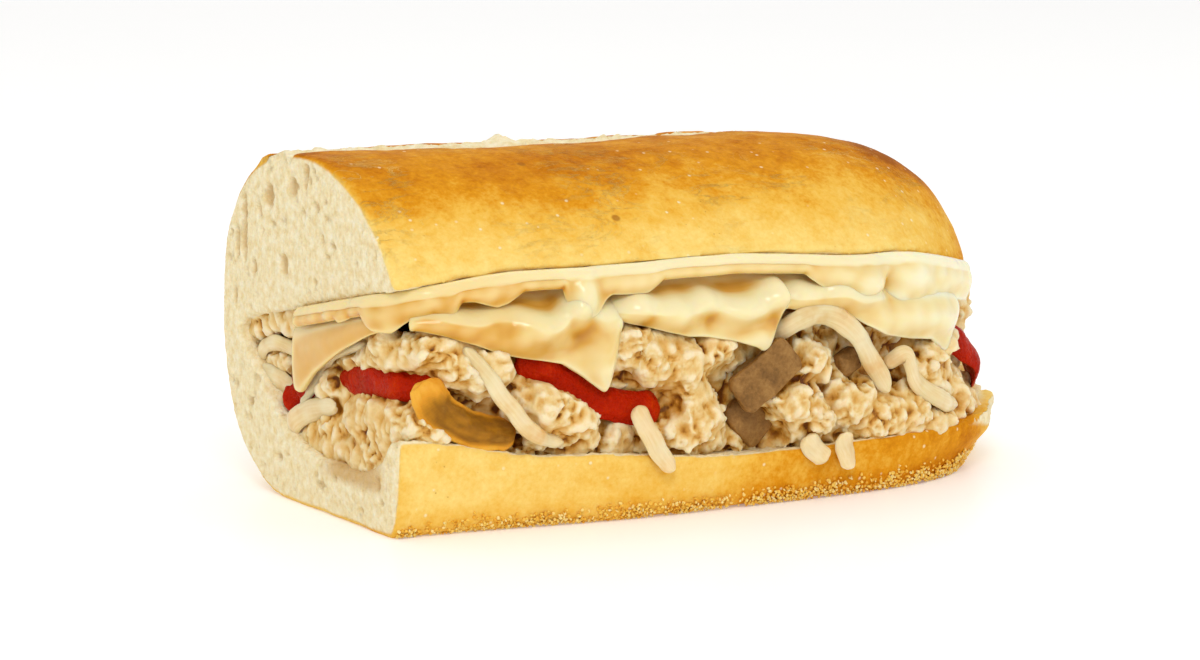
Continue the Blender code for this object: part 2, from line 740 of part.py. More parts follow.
def centre_on_origin(objects):
    """Moves everything so that the middle of its base is at the origin."""
    corners = [obj.matrix_world @ Vector(c) for obj in objects for c in obj.bound_box]
    low = Vector((min(c[k] for c in corners) for k in range(3)))
    high = Vector((max(c[k] for c in corners) for k in range(3)))
    shift = Vector((-(low.x + high.x) / 2.0, -(low.y + high.y) / 2.0, -low.z))
    for obj in objects:
        obj.data.transform(obj.matrix_world.Translation(shift))
    return shift


def main():
    clear_scene()
    parts = collection("submarine_sandwich")
    cutters = collection("cutters")
    looks = {
        "bread": material("baked_bread", (0.82, 0.52, 0.18), 0.6),
        "cheese": material("melted_cheese", (0.93, 0.72, 0.36), 0.35),
        "chicken": material("chopped_chicken", (0.83, 0.66, 0.42), 0.55),
        "red_pepper": material("red_pepper", (0.62, 0.05, 0.01), 0.3),
        "green_pepper": material("green_pepper", (0.55, 0.33, 0.06), 0.35),
        "onion": material("cooked_onion", (0.86, 0.72, 0.48), 0.35),
        "mushroom": material("cooked_mushroom", (0.42, 0.31, 0.18), 0.5),
    }
    roll = make_roll(parts, cutters, looks["bread"])
    strips = make_strips(parts, looks)
    melt = make_melt(parts, looks["cheese"])
    slices = make_slices(parts, looks["cheese"])
    chicken = make_chicken(parts, cutters, looks["chicken"])
    taken = [clearance(roll)]
    for group in ([melt], strips, slices):
        for piece in group:
            space = clearance(piece)
            carve(piece, taken, cutters)
            taken.append(space)
    carve(chicken, taken, cutters)
    bpy.data.collections.remove(cutters)
    bpy.context.view_layer.update()
    centre_on_origin([roll, melt, *strips, *slices, chicken])
    for obj in parts.objects:
        obj.data.shade_smooth()
        obj.data.set_sharp_from_angle(angle=math.radians(50.0))


main()
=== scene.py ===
"""The looks of a submarine sandwich: crust, crumb, melted cheese and filling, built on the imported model."""

import math
import random

import bmesh
import bpy
import numpy as np
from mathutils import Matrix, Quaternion, Vector, noise


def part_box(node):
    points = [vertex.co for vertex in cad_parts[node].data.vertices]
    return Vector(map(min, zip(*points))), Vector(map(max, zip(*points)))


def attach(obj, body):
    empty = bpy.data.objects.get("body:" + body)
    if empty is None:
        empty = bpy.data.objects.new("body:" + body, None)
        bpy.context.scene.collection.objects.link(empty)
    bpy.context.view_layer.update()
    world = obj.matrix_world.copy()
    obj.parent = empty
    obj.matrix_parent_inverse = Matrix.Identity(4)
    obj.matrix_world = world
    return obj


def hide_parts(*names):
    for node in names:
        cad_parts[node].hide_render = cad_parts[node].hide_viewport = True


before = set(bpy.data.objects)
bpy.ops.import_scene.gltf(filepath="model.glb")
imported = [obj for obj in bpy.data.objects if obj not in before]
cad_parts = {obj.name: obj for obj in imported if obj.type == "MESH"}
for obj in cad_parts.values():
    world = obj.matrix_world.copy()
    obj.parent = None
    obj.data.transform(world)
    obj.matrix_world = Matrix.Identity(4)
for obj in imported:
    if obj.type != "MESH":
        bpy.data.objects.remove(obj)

bl_info = {
    "name": "Submarine Sandwich",
    "version": (1, 0, 0),
    "blender": (4, 5, 0),
    "location": "View3D > Sidebar > Sandwich",
    "description": "Builds a hot submarine sandwich with melted cheese round its packed model",
    "category": "Add Mesh",
}

MM = 0.001

# Random directions that the noise uses, and the large primes that pick one of them for each cell.
SLOPES = np.random.default_rng(3).normal(size=(4093, 3))
SLOPES /= np.linalg.norm(SLOPES, axis=1, keepdims=True)
HASH = np.array([73856093, 19349663, 83492791])

# The roll, in millimetres in the maker's own frame: X along it, Y to the hinge, Z up.
CUT_X = -92.0
END_X = 98.0
TAPER_X = 8.0
FRONT_Y = -52.0
CUT_FRONT_Y = -44.8
BACK_Y = 45.0
CREST_Z = 82.3
CUT_CREST_Z = 83.3
SHOULDER_Z = 46.8
END_SHOULDER_Z = 26.0
TOP_SHORTER = 0.105
BASE_SHORTER = 0.135
BASE_LEAN = 1.6
HINGE_WALL = 9.0
MOUTH_END_X = 95.5
FLOOR_Z = 11.0
BED_RISE = 1.65
BED_SLOPE = 0.0087
TOP_FRONT = 1.75
TOP_BACK = 2.35
BASE_BACK = 2.7
BASE_FRONT = 16.0
BASE_CUT = 1.2
END_FULLNESS = 3.0
TOP_FULLNESS = 0.56
SCORE_Y = 7.0
SCORE_WIDTH = 13.0
SCORE_END_X = 74.0
SCORE_FADE = 25.0
FLAP_END = 1.6

ROLL_LOW, ROLL_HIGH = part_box("roll")
ORIGIN = np.array([ROLL_LOW[0] / MM - CUT_X, ROLL_HIGH[1] / MM - BACK_Y, 0.0])
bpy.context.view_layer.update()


def smooth(low, high, value):
    t = np.clip((np.asarray(value, float) - low) / (high - low), 0.0, 1.0)
    return t * t * (3.0 - 2.0 * t)


def along(value, stops):
    """A smooth curve through (position, value) stops."""
    value = np.asarray(value, float)
    result = np.full(value.shape, float(stops[0][1]))
    for (x0, v0), (x1, v1) in zip(stops, stops[1:]):
        result = np.where(value > x0, v0 + (v1 - v0) * smooth(x0, x1, value), result)
    return result


def ramp(value, stops):
    """Straight lines through (position, value) stops."""
    return np.interp(value, [s[0] for s in stops], [s[1] for s in stops])


def power(value, exponent):
    return np.sign(value) * np.abs(value) ** exponent


def end_taper(x):
    """How wide the roll is at a station x, falling from 1 to 0 at the baked end."""
    t = np.clip((np.asarray(x, float) - TAPER_X) / (END_X - TAPER_X), 0.0, 1.0)
    return np.sqrt(np.maximum(0.0, 1.0 - t**END_FULLNESS))


def bed(x):
    """How far the crumb under the filling lifts it at a station x."""
    return BED_RISE + BED_SLOPE * (x - CUT_X)


def side_y(x):
    """The roll's front and back at a station x."""
    front = along(x, [(CUT_X, CUT_FRONT_Y), (-20.0, FRONT_Y), (END_X, FRONT_Y)])
    middle = (front + BACK_Y) / 2.0
    half = (BACK_Y - front) / 2.0 * end_taper(x)
    return middle - half, middle + half


def shoulder_z(x):
    return along(x, [(20.0, SHOULDER_Z), (END_X, END_SHOULDER_Z)])


def crest_z(x):
    top = along(x, [(CUT_X, CUT_CREST_Z), (-10.0, CREST_Z)])
    return shoulder_z(x) + (top - shoulder_z(x)) * end_taper(x) ** TOP_FULLNESS


def base_height(x):
    """How far the lower half reaches down from the shoulder, before its flat base is cut."""
    waist = shoulder_z(x)
    return waist + BASE_CUT - waist * (1.0 - smooth(0.0, 0.5, end_taper(x))) * 0.7


def squareness(upper, back):
    """How square each quarter of the section is."""
    return np.where(upper, np.where(back, TOP_BACK, TOP_FRONT), np.where(back, BASE_BACK, BASE_FRONT))


def score_across(x, y):
    """How far a point is across the torn score, from 0 at its front edge to 1 where the flap starts."""
    wander = 3.0 * np.sin(x / 23.0) + 1.5 * np.sin(x / 7.0)
    return (y - SCORE_Y - wander) / SCORE_WIDTH


def score_reach(x):
    """1 along the score, falling to 0 at its end."""
    return 1.0 - smooth(SCORE_END_X - SCORE_FADE, SCORE_END_X, x)


def score_relief(x, y):
    """How far the torn score sinks into the crust and its flap stands out of it."""
    across = score_across(x, y)
    groove = 0.9 * smooth(0.0, 0.06, across) * (1.0 - smooth(0.06, 0.3, across))
    floor = 1.2 * smooth(0.12, 0.4, across) - groove
    flap = 1.2 + (0.5 + 1.6 * smooth(-12.0, 12.0, x)) * np.sin((across - 1.0) / 0.6 * math.pi)
    flap *= 1.0 - smooth(1.2, FLAP_END, across)
    relief = np.where(across < 1.0, floor, flap)
    return np.where((across < 0.0) | (across > FLAP_END), 0.0, relief) * score_reach(x)


def end_shift(x, z):
    """How much shorter the baked end is, high up and low down, than at its middle."""
    share = TOP_SHORTER * smooth(12.0, 44.0, z) + BASE_SHORTER * (1.0 - smooth(0.0, 14.0, z))
    return share * smooth(TAPER_X, END_X, x) * (x - TAPER_X)


def upper_lip_z(x):
    return bed(x) + along(x, [(CUT_X, 56.3), (-60.0, 59.0), (-10.0, 59.3), (40.0, 56.0), (90.0, 48.5)])


def lower_lip_z(x):
    return bed(x) + along(x, [(CUT_X, 21.5), (-50.0, 15.0), (0.0, 11.0), (60.0, 11.0), (95.0, 12.5)])


def hinge_y(x):
    return side_y(x)[1] - HINGE_WALL * (0.55 + 0.45 * end_taper(x))


def roof_z(x, y):
    """The height of the roof of the mouth at points in plan."""
    front = side_y(x)[0]
    share = (y - front) / np.maximum(1.0, hinge_y(x) - front)
    fall = along(x, [(CUT_X, 18.0), (20.0, 17.0), (95.0, 12.0)])
    return upper_lip_z(x) - fall * np.maximum(-0.3, share) * np.where(share > 0, 1.0, 0.4)


def top_lip(x):
    """Where the upper lip is in plan at a station x."""
    front, back = side_y(x)
    middle = (front + back) / 2.0
    waist = shoulder_z(x)
    z = upper_lip_z(x)
    rise = min(1.0, (z - waist) / (crest_z(x) - waist)) ** (TOP_FRONT / 2.0)
    y = middle - (middle - front) * math.sqrt(1.0 - rise * rise) ** (2.0 / TOP_FRONT)
    return float(x - end_shift(x, z)), float(y)


def catmull(points, steps):
    """A smooth curve through points, as an array with some steps between each pair."""
    fitted = np.array(points, float)
    fitted = np.vstack([2 * fitted[0] - fitted[1], fitted, 2 * fitted[-1] - fitted[-2]])
    curve = []
    for a, b, c, d in zip(fitted, fitted[1:], fitted[2:], fitted[3:]):
        for i in range(steps):
            t = i / steps
            square = (2 * a - 5 * b + 4 * c - d) * t * t
            cube = (3 * b - a - 3 * c + d) * t**3
            curve.append(0.5 * (2 * b + (c - a) * t + square + cube))
    curve.append(fitted[-2])
    return np.array(curve)


# The rim that the cheese hangs over, seen from above: round the cut end, then along the upper lip.
RIM_START = [(-91.4, 16.0), (-91.6, -6.0), (-91.0, -27.0), (-87.2, -37.2)]
RIM_STATIONS = (-76.0, -52.0, -22.0, 8.0, 34.0, 58.0, 75.0, 86.0, 93.0)
RIM_FRONT = 50.0
RIM_CORNER = 55.0
RIM = catmull(RIM_START + [top_lip(x) for x in RIM_STATIONS], 24)
RIM_LENGTH = np.concatenate([[0.0], np.cumsum(np.linalg.norm(np.diff(RIM, axis=0), axis=1))])


def rim_at(s):
    """Points on the cheese's rim path at lengths s, and the outward directions there."""
    x = np.interp(s, RIM_LENGTH, RIM[:, 0])
    y = np.interp(s, RIM_LENGTH, RIM[:, 1])
    ahead = np.interp(s + 1.5, RIM_LENGTH, RIM[:, 0]), np.interp(s + 1.5, RIM_LENGTH, RIM[:, 1])
    behind = np.interp(s - 1.5, RIM_LENGTH, RIM[:, 0]), np.interp(s - 1.5, RIM_LENGTH, RIM[:, 1])
    run = np.stack([ahead[0] - behind[0], ahead[1] - behind[1]], -1)
    run /= np.linalg.norm(run, axis=-1, keepdims=True)
    return np.stack([x, y], -1), np.stack([run[..., 1], -run[..., 0]], -1)


def rim_to(x):
    """The length along the rim at which its front reaches a station x."""
    far = RIM_LENGTH > RIM_FRONT
    return float(np.interp(x, RIM[far, 0], RIM_LENGTH[far]))


def rim_place(points):
    """For points in plan, their length along the rim and how far outside it they are."""
    best = np.full(len(points), 1e9)
    length = np.zeros(len(points))
    out = np.zeros(len(points))
    for i in range(0, len(RIM) - 6, 6):
        a, run = RIM[i], RIM[i + 6] - RIM[i]
        size = run @ run
        share = np.clip(((points - a) @ run) / size, 0.0, 1.0)
        gap = points - (a + share[:, None] * run)
        distance = np.linalg.norm(gap, axis=1)
        side = np.sign(gap @ np.array([run[1], -run[0]]))
        near = distance < best
        best = np.where(near, distance, best)
        length = np.where(near, RIM_LENGTH[i] + share * math.sqrt(size), length)
        out = np.where(near, side * distance, out)
    return length, out


# Meshes.


def place(points):
    """Millimetres in the maker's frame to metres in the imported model's frame."""
    return (np.asarray(points, float) + ORIGIN) * MM


def link(name, mesh, look=None, smooth_shade=True):
    """A new object of a mesh, in the scene."""
    obj = bpy.data.objects.new(name, mesh)
    bpy.context.scene.collection.objects.link(obj)
    if look:
        mesh.materials.clear()
        mesh.materials.append(look)
    if smooth_shade:
        mesh.shade_smooth()
    return obj


def mesh_from(name, points, faces):
    """A mesh in the maker's millimetres."""
    mesh = bpy.data.meshes.new(name)
    mesh.from_pydata([tuple(p) for p in points], [], [tuple(f) for f in faces])
    mesh.update()
    return mesh


def grid_faces(rows, columns, wrap=False):
    """Quads of a grid of points stored row by row."""
    faces = []
    for i in range(rows - 1):
        for j in range(columns if wrap else columns - 1):
            k = (j + 1) % columns
            faces.append((i * columns + j, i * columns + k, (i + 1) * columns + k, (i + 1) * columns + j))
    return faces


def tube_mesh(name, rings):
    """A closed mesh through rings of points of equal length, with a fan on each end."""
    count = len(rings[0])
    points = [p for ring in rings for p in ring]
    faces = grid_faces(len(rings), count, wrap=True)
    for base, ring in ((0, rings[0]), ((len(rings) - 1) * count, rings[-1])):
        points.append(np.mean(ring, axis=0))
        hub = len(points) - 1
        faces += [(base + j, base + (j + 1) % count, hub) for j in range(count)]
    mesh = mesh_from(name, points, faces)
    turn_outward(mesh)
    return mesh


def turn_outward(mesh):
    """Joins points that coincide and turns all faces outward."""
    bm = bmesh.new()
    bm.from_mesh(mesh)
    bmesh.ops.remove_doubles(bm, verts=bm.verts, dist=0.002)
    bmesh.ops.recalc_face_normals(bm, faces=bm.faces)
    bm.to_mesh(mesh)
    bm.free()


def bake_modifiers(obj):
    """Applies an object's modifiers."""
    view = bpy.context.evaluated_depsgraph_get()
    mesh = bpy.data.meshes.new_from_object(obj.evaluated_get(view))
    obj.modifiers.clear()
    old = obj.data
    obj.data = mesh
    bpy.data.meshes.remove(old)


def coordinates(mesh):
    data = np.empty(len(mesh.vertices) * 3)
    mesh.vertices.foreach_get("co", data)
    return data.reshape(-1, 3)


def normals(mesh):
    data = np.empty(len(mesh.vertices) * 3)
    mesh.vertex_normals.foreach_get("vector", data)
    return data.reshape(-1, 3)


def move_to(mesh, points):
    mesh.vertices.foreach_set("co", np.ascontiguousarray(points, dtype=np.float32).ravel())
    mesh.update()


def edge_pairs(mesh):
    data = np.empty(len(mesh.edges) * 2, dtype=np.int64)
    mesh.edges.foreach_get("vertices", data)
    return data.reshape(-1, 2)


def relax(points, edges, rounds):
    """Points averaged with their neighbours a number of times."""
    count = len(points)
    degree = np.bincount(edges.ravel(), minlength=count).clip(1)[:, None]
    for _ in range(rounds):
        total = np.stack(
            [
                np.bincount(edges[:, 0], points[edges[:, 1], k], count)
                + np.bincount(edges[:, 1], points[edges[:, 0], k], count)
                for k in range(3)
            ],
            -1,
        )
        points = 0.5 * points + 0.5 * total / degree
    return points


def standing(mesh, points, rounds):
    """How far each point stands out from where some rounds of smoothing would put it."""
    return ((points - relax(points, edge_pairs(mesh), rounds)) * normals(mesh)).sum(1)


def attribute(mesh, name, values):
    """Stores a number for each point, for the shaders."""
    layer = mesh.attributes.new(name, "FLOAT", "POINT")
    layer.data.foreach_set("value", np.ascontiguousarray(values, dtype=np.float32))


def remesh(obj, voxel):
    """Voxel remesh, applied, with the faces left smooth."""
    modifier = obj.modifiers.new("even mesh", "REMESH")
    modifier.mode = "VOXEL"
    modifier.voxel_size = voxel
    modifier.use_smooth_shade = True
    bake_modifiers(obj)


def finish_piece(obj, look, slot, *nodes):
    """Moves a piece from millimetres to its place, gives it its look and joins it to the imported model."""
    move_to(obj.data, place(coordinates(obj.data)))
    obj.data.materials.clear()
    obj.data.materials.append(look)
    obj.data.shade_smooth()
    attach(obj, "root")
    if nodes:
        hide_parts(*nodes)


def field(points, scale, seed):
    """Gradient noise at points, scale millimetres across, from about -1 to 1."""
    spot = np.asarray(points, float) * (1.0 / scale) + seed * 17.31
    cell = np.floor(spot).astype(np.int64)
    inside = spot - cell
    blend = inside**3 * (inside * (inside * 6.0 - 15.0) + 10.0)
    value = np.zeros(len(spot))
    for corner in np.ndindex(2, 2, 2):
        at = (cell + corner) * HASH
        index = at[:, 0] ^ at[:, 1] ^ at[:, 2]
        slope = (SLOPES[index % len(SLOPES)] * (inside - corner)).sum(1)
        value += slope * np.prod(np.where(corner, blend, 1.0 - blend), axis=1)
    return 1.6 * value


# Shaders.


def linear(code):
    """Linear RGBA from a hex colour."""
    parts = [int(code[i : i + 2], 16) / 255.0 for i in (0, 2, 4)]
    return tuple(p / 12.92 if p <= 0.04045 else ((p + 0.055) / 1.055) ** 2.4 for p in parts) + (1.0,)


class Value:
    """A shader output that Python's operators work on: each adds the Math node for it."""

    def __init__(self, look, socket):
        self.look = look
        self.socket = socket

    def math(self, operation, *others):
        inputs = {i + 1: other for i, other in enumerate(others)}
        return self.look.node("ShaderNodeMath", {"operation": operation}, {0: self, **inputs})

    def __add__(self, other):
        return self.math("ADD", other)

    def __sub__(self, other):
        return self.math("SUBTRACT", other)

    def __mul__(self, other):
        return self.math("MULTIPLY", other)

    def __truediv__(self, other):
        return self.math("DIVIDE", other)

    def __radd__(self, other):
        return self + other

    def __rmul__(self, other):
        return self * other

    def __rsub__(self, other):
        return self.look.node("ShaderNodeMath", {"operation": "SUBTRACT"}, {0: other, 1: self})

    def between(self, low, high):
        """0 below low, 1 above high, smooth between."""
        return self.look.node(
            "ShaderNodeMapRange",
            {"interpolation_type": "SMOOTHSTEP"},
            {"Value": self, "From Min": low, "From Max": high},
        )


class Look:
    """A material with one Principled shader and the few kinds of node that feed it."""

    def __init__(self, name, **constants):
        self.material = bpy.data.materials.new(name)
        self.material.use_nodes = True
        self.nodes = self.material.node_tree.nodes
        self.links = self.material.node_tree.links
        self.shader = self.nodes["Principled BSDF"]
        for key, value in constants.items():
            self.shader.inputs[key.replace("_", " ")].default_value = value
        self.place = self.node("ShaderNodeTexCoord", out="Object")

    def node(self, kind, settings=None, inputs=None, out=0):
        """Adds a node: its settings first, then the values or links of its sockets. Returns one output."""
        made = self.nodes.new(kind)
        for key, value in (settings or {}).items():
            setattr(made, key, value)
        for key, value in (inputs or {}).items():
            socket = made.inputs[key]
            if isinstance(value, Value):
                self.links.new(value.socket, socket)
            else:
                socket.default_value = value
        return Value(self, made.outputs[out])

    def stretched(self, scale):
        """Object coordinates in millimetres, stretched by a scale for each axis."""
        return self.node(
            "ShaderNodeVectorMath", {"operation": "MULTIPLY"}, {0: self.place, 1: [c / MM for c in scale]}
        )

    def noise(self, size, detail=3.0, rough=0.5, warp=0.0, stretch=(1.0, 1.0, 1.0)):
        """Noise from 0 to 1 whose features are about size millimetres across."""
        where = self.stretched(stretch)
        return self.node(
            "ShaderNodeTexNoise",
            {},
            {"Vector": where, "Scale": 1.0 / size, "Detail": detail, "Roughness": rough, "Distortion": warp},
        )

    def cells(self, size):
        """Distance to the nearest of points about size millimetres apart."""
        where = self.stretched((1.0, 1.0, 1.0))
        return self.node("ShaderNodeTexVoronoi", {}, {"Vector": where, "Scale": 1.0 / size})

    def axis(self, index):
        """One object coordinate in millimetres."""
        return self.node("ShaderNodeSeparateXYZ", {}, {0: self.place}, out=index) * (1.0 / MM)

    def stored(self, name):
        """A number stored at the mesh's points."""
        return self.node("ShaderNodeAttribute", {"attribute_name": name}, out="Fac")

    def grain(self, across, run):
        """Noise from 0 to 1 drawn out along a strip: so many lines across it, so many changes along it."""
        spot = {0: self.stored("across") * across, 1: self.stored("run") * run}
        where = self.node("ShaderNodeCombineXYZ", {}, spot)
        return self.node("ShaderNodeTexNoise", {}, {"Vector": where, "Scale": 1.0, "Detail": 2.0})

    def mix(self, factor, low, high):
        """A colour between low and high."""
        made = self.nodes.new("ShaderNodeMix")
        made.data_type = "RGBA"
        for index, value in ((0, factor), (6, low), (7, high)):
            if isinstance(value, Value):
                self.links.new(value.socket, made.inputs[index])
            else:
                made.inputs[index].default_value = value
        return Value(self, made.outputs[2])

    def colours(self, factor, *stops):
        """A colour ramp from (position, hex colour) stops."""
        made = self.nodes.new("ShaderNodeValToRGB")
        ramp_stops = made.color_ramp.elements
        while len(ramp_stops) < len(stops):
            ramp_stops.new(0.5)
        for element, (position, code) in zip(ramp_stops, stops):
            element.position = position
            element.color = linear(code)
        self.links.new(factor.socket, made.inputs[0])
        return Value(self, made.outputs[0])

    def set(self, **sockets):
        """Links values to the shader's inputs of those names."""
        for key, value in sockets.items():
            self.links.new(value.socket, self.shader.inputs[key.replace("_", " ")])

    def bump(self, height, distance):
        """Bump from a height of 0 to 1 over a distance in millimetres."""
        self.set(Normal=self.node("ShaderNodeBump", {}, {"Height": height, "Distance": distance * MM}))


def bread_look():
    """Golden crust, darker towards the crest, over a pale open crumb; rind tells them apart."""
    look = Look(
        "baked_bread", Subsurface_Weight=0.12, Subsurface_Radius=(1.0, 0.6, 0.3), Subsurface_Scale=0.0025,
        Specular_IOR_Level=0.015,
    )
    patches = look.noise(26.0, 3.0, 0.55)
    blotches = look.noise(6.0, 4.0, 0.62)
    fine = look.noise(1.3, 5.0, 0.7)
    height = look.axis(2).between(50.0, 82.0)
    bake = look.stored("bake") + (patches - 0.5) * 0.5 + (blotches - 0.5) * 0.6 + (fine - 0.5) * 0.5
    crust = look.colours(
        bake, (0.0, "F5D882"), (0.2, "F1C968"), (0.42, "EAB546"),
        (0.62, "DB931A"), (0.82, "C2740A"), (1.0, "9C5404"),
    )
    veins = look.noise(11.0, 7.0, 0.72, warp=1.2, stretch=(0.4, 1.0, 1.0))
    vein = (1.0 - (veins - 0.5).math("ABSOLUTE").between(0.0, 0.016)) * look.noise(20.0).between(0.42, 0.6)
    crust = look.mix(vein * height * 0.45, crust, linear("F8D880"))
    flecks = look.cells(4.2)
    fleck = (1.0 - flecks.between(0.05, 0.14)) * look.noise(14.0).between(0.36, 0.55)
    crust = look.mix(fleck * 0.7, crust, linear("FBEDC0"))
    specks = look.cells(2.7)
    speck = (1.0 - specks.between(0.04, 0.10)) * look.noise(11.0).between(0.5, 0.62)
    crust = look.mix(speck * 0.5, crust, linear("B0701C"))
    spots = look.cells(23.0)
    spot = (1.0 - spots.between(0.03, 0.06)) * 0.7
    crust = look.mix(spot, crust, linear("9A5A18"))
    open_crumb = look.noise(2.4, 4.0, 0.6)
    # Painted shade: the crumb is darker in its larger holes, where shade falls.
    pore_shade = look.stored("pore_shade")
    crumb = look.colours(open_crumb, (0.25, "E6CC92"), (0.5, "F3E3B8"), (0.75, "FBF3D6"))
    crumb = look.mix(pore_shade * 0.8, crumb, linear("D2B27C"))
    # A darker tan on the crumb along the mouth's floor near the cut end.
    crumb = look.mix(look.stored("floor_tan") * 0.7, crumb, linear("C79A55"))
    rind = look.stored("rind") + (blotches - 0.5) * 0.9
    inside = rind.between(0.7, 1.5)
    colour = look.mix(inside, crust, crumb)
    look.set(Base_Color=colour, Roughness=0.46 + inside * 0.4 + (blotches - 0.5) * 0.2)
    bubbles = look.cells(1.3)
    height_crumb = bubbles * 0.9 + look.noise(0.8, 3.0, 0.6) * 0.8
    height_crust = fine * 0.4 + look.noise(3.0, 3.0, 0.5) * 0.4
    height_crust = height_crust + vein * height * 0.2 + fleck * 0.25 - speck * 0.2
    look.bump(height_crust * (1.0 - inside) + height_crumb * inside, 0.5)
    return look.material


def cheese_look():
    """Pale cheese, with painted shade that turns it golden in its folds."""
    look = Look(
        "melted_cheese", Roughness=0.3, Subsurface_Weight=0.45, Subsurface_Radius=(1.0, 0.55, 0.18),
        Subsurface_Scale=0.004, Specular_IOR_Level=0.35, Coat_Weight=0.12, Coat_Roughness=0.15,
    )
    cloud = look.noise(13.0, 3.0, 0.5)
    fine = look.noise(2.2, 3.0, 0.5)
    # tone holds the painted light and shade stored on the cheese.
    tone = look.stored("tone") + (cloud - 0.5) * 0.12 + (fine - 0.5) * 0.03
    colour = look.colours(
        tone, (0.0, "C8841C"), (0.2, "DFAA4C"), (0.4, "EBC880"), (0.68, "F2DCA4"), (1.0, "F7ECCA")
    )
    look.set(Base_Color=colour, Roughness=0.2 + (cloud - 0.5) * 0.16)
    look.bump(look.noise(5.0, 2.0, 0.5) * 0.5 + fine * 0.06, 0.4)
    return look.material


def chicken_look():
    """Pale chicken, with painted shade that turns it brown in its hollows."""
    look = Look(
        "chopped_chicken", Roughness=0.5, Subsurface_Weight=0.22, Subsurface_Radius=(1.0, 0.55, 0.25),
        Subsurface_Scale=0.0025, Specular_IOR_Level=0.25, Coat_Weight=0.06, Coat_Roughness=0.25,
    )
    hollow = look.stored("hollow")
    cloud = look.noise(9.0, 4.0, 0.6)
    fine = look.noise(0.9, 4.0, 0.6)
    # Painted shade: the stored hollow darkens crevices, the lumps deep behind the lip and the core; knobs get
    # paler.
    tone = 0.53 - hollow * 0.85 + (cloud - 0.5) * 0.6 + (fine - 0.5) * 0.2
    colour = look.colours(
        tone, (0.0, "703A04"), (0.16, "AE7018"), (0.34, "D6A048"),
        (0.54, "E4BE76"), (0.76, "EDD298"), (1.0, "F4E2BA"),
    )
    glaze = look.noise(4.5, 3.0, 0.5).between(0.55, 0.72) * 0.35
    colour = look.mix(glaze, colour, linear("DFA952"))
    look.set(Base_Color=colour, Roughness=0.36 + cloud * 0.3)
    look.bump(fine * 0.8 + look.noise(2.4, 3.0, 0.6) * 0.6, 0.45)
    return look.material


def red_pepper_look():
    look = Look(
        "red_pepper", Subsurface_Weight=0.1, Subsurface_Radius=(1.0, 0.2, 0.05), Subsurface_Scale=0.001,
        Specular_IOR_Level=0.05,
    )
    cloud = look.noise(6.0, 4.0, 0.6)
    fine = look.noise(1.1, 4.0, 0.6)
    tone = cloud * 0.7 + fine * 0.3 + look.stored("edge") * 0.3
    colour = look.colours(
        tone, (0.25, "780E00"), (0.42, "A21600"), (0.6, "B92200"), (0.8, "CC3A00"), (1.0, "DA6008")
    )
    look.set(Base_Color=colour, Roughness=0.12 + cloud * 0.3)
    look.bump(fine * 0.6 + cloud * 0.9, 1.5)
    return look.material


def green_pepper_look():
    """Cooked golden to olive brown, darker along the middle of the strip."""
    look = Look(
        "green_pepper", Subsurface_Weight=0.15, Subsurface_Radius=(1.0, 0.5, 0.1), Subsurface_Scale=0.002,
        Specular_IOR_Level=0.1, Coat_Weight=0.02, Coat_Roughness=0.2,
    )
    cloud = look.noise(7.0, 4.0, 0.6)
    fine = look.noise(1.2, 4.0, 0.6)
    ribs = look.grain(2.6, 5.0)
    middle = 1.0 - look.stored("across").math("ABSOLUTE").between(0.45, 0.95)
    tone = look.stored("run").between(0.1, 0.4) * middle * 0.6
    tone = tone + 0.12 + (cloud - 0.5) * 0.5 + (ribs - 0.5) * 0.6
    colour = look.colours(
        tone, (0.0, "EDB040"), (0.25, "DE982A"), (0.5, "B87C1C"), (0.75, "8A5A12"), (1.0, "B98430")
    )
    look.set(Base_Color=colour, Roughness=0.24 + cloud * 0.25)
    look.bump(fine * 0.3 + ribs * 0.7, 0.6)
    return look.material


def onion_look():
    look = Look(
        "cooked_onion", Subsurface_Weight=0.5, Subsurface_Radius=(1.0, 0.7, 0.4), Subsurface_Scale=0.003,
        Specular_IOR_Level=0.3, Coat_Weight=0.1, Coat_Roughness=0.12,
    )
    lines = look.grain(5.0, 3.0)
    cloud = look.noise(8.0, 3.0, 0.5)
    tone = lines * 0.3 + cloud * 0.6 + look.stored("edge") * 0.2
    colour = look.colours(tone, (0.2, "D8B274"), (0.4, "E7CC98"), (0.6, "F1DEB6"), (0.85, "F9EFD8"))
    stain = look.noise(7.0, 3.0, 0.5).between(0.52, 0.72)
    colour = look.mix(stain * 0.5, colour, linear("D9A24E"))
    look.set(Base_Color=colour, Roughness=0.22 + cloud * 0.2)
    look.bump(lines * 0.1 + cloud * 0.6, 0.25)
    return look.material


def mushroom_look():
    look = Look(
        "cooked_mushroom", Subsurface_Weight=0.1, Subsurface_Radius=(1.0, 0.7, 0.4), Subsurface_Scale=0.002,
        Specular_IOR_Level=0.18, Coat_Weight=0.03, Coat_Roughness=0.25,
    )
    cloud = look.noise(4.0, 4.0, 0.65)
    fine = look.noise(0.8, 3.0, 0.6)
    tone = cloud * 0.6 + fine * 0.3 + look.stored("edge") * 0.25
    colour = look.colours(
        tone, (0.25, "5E3F18"), (0.45, "8A6230"), (0.62, "A67C44"), (0.8, "C29A5C"), (1.0, "DDBC80")
    )
    look.set(Base_Color=colour, Roughness=0.35 + cloud * 0.3)
    look.bump(fine * 0.6 + cloud * 0.6, 0.5)
    return look.material


def cornmeal_look():
    look = Look(
        "cornmeal", Roughness=0.6, Subsurface_Weight=0.15, Subsurface_Radius=(1.0, 0.7, 0.3),
        Subsurface_Scale=0.001,
    )
    tone = look.stored("grain_tone")
    colour = look.colours(tone, (0.0, "DF9E1C"), (0.35, "EBB434"), (0.65, "F0C656"), (1.0, "F6E09A"))
    look.set(Base_Color=colour)
    return look.material


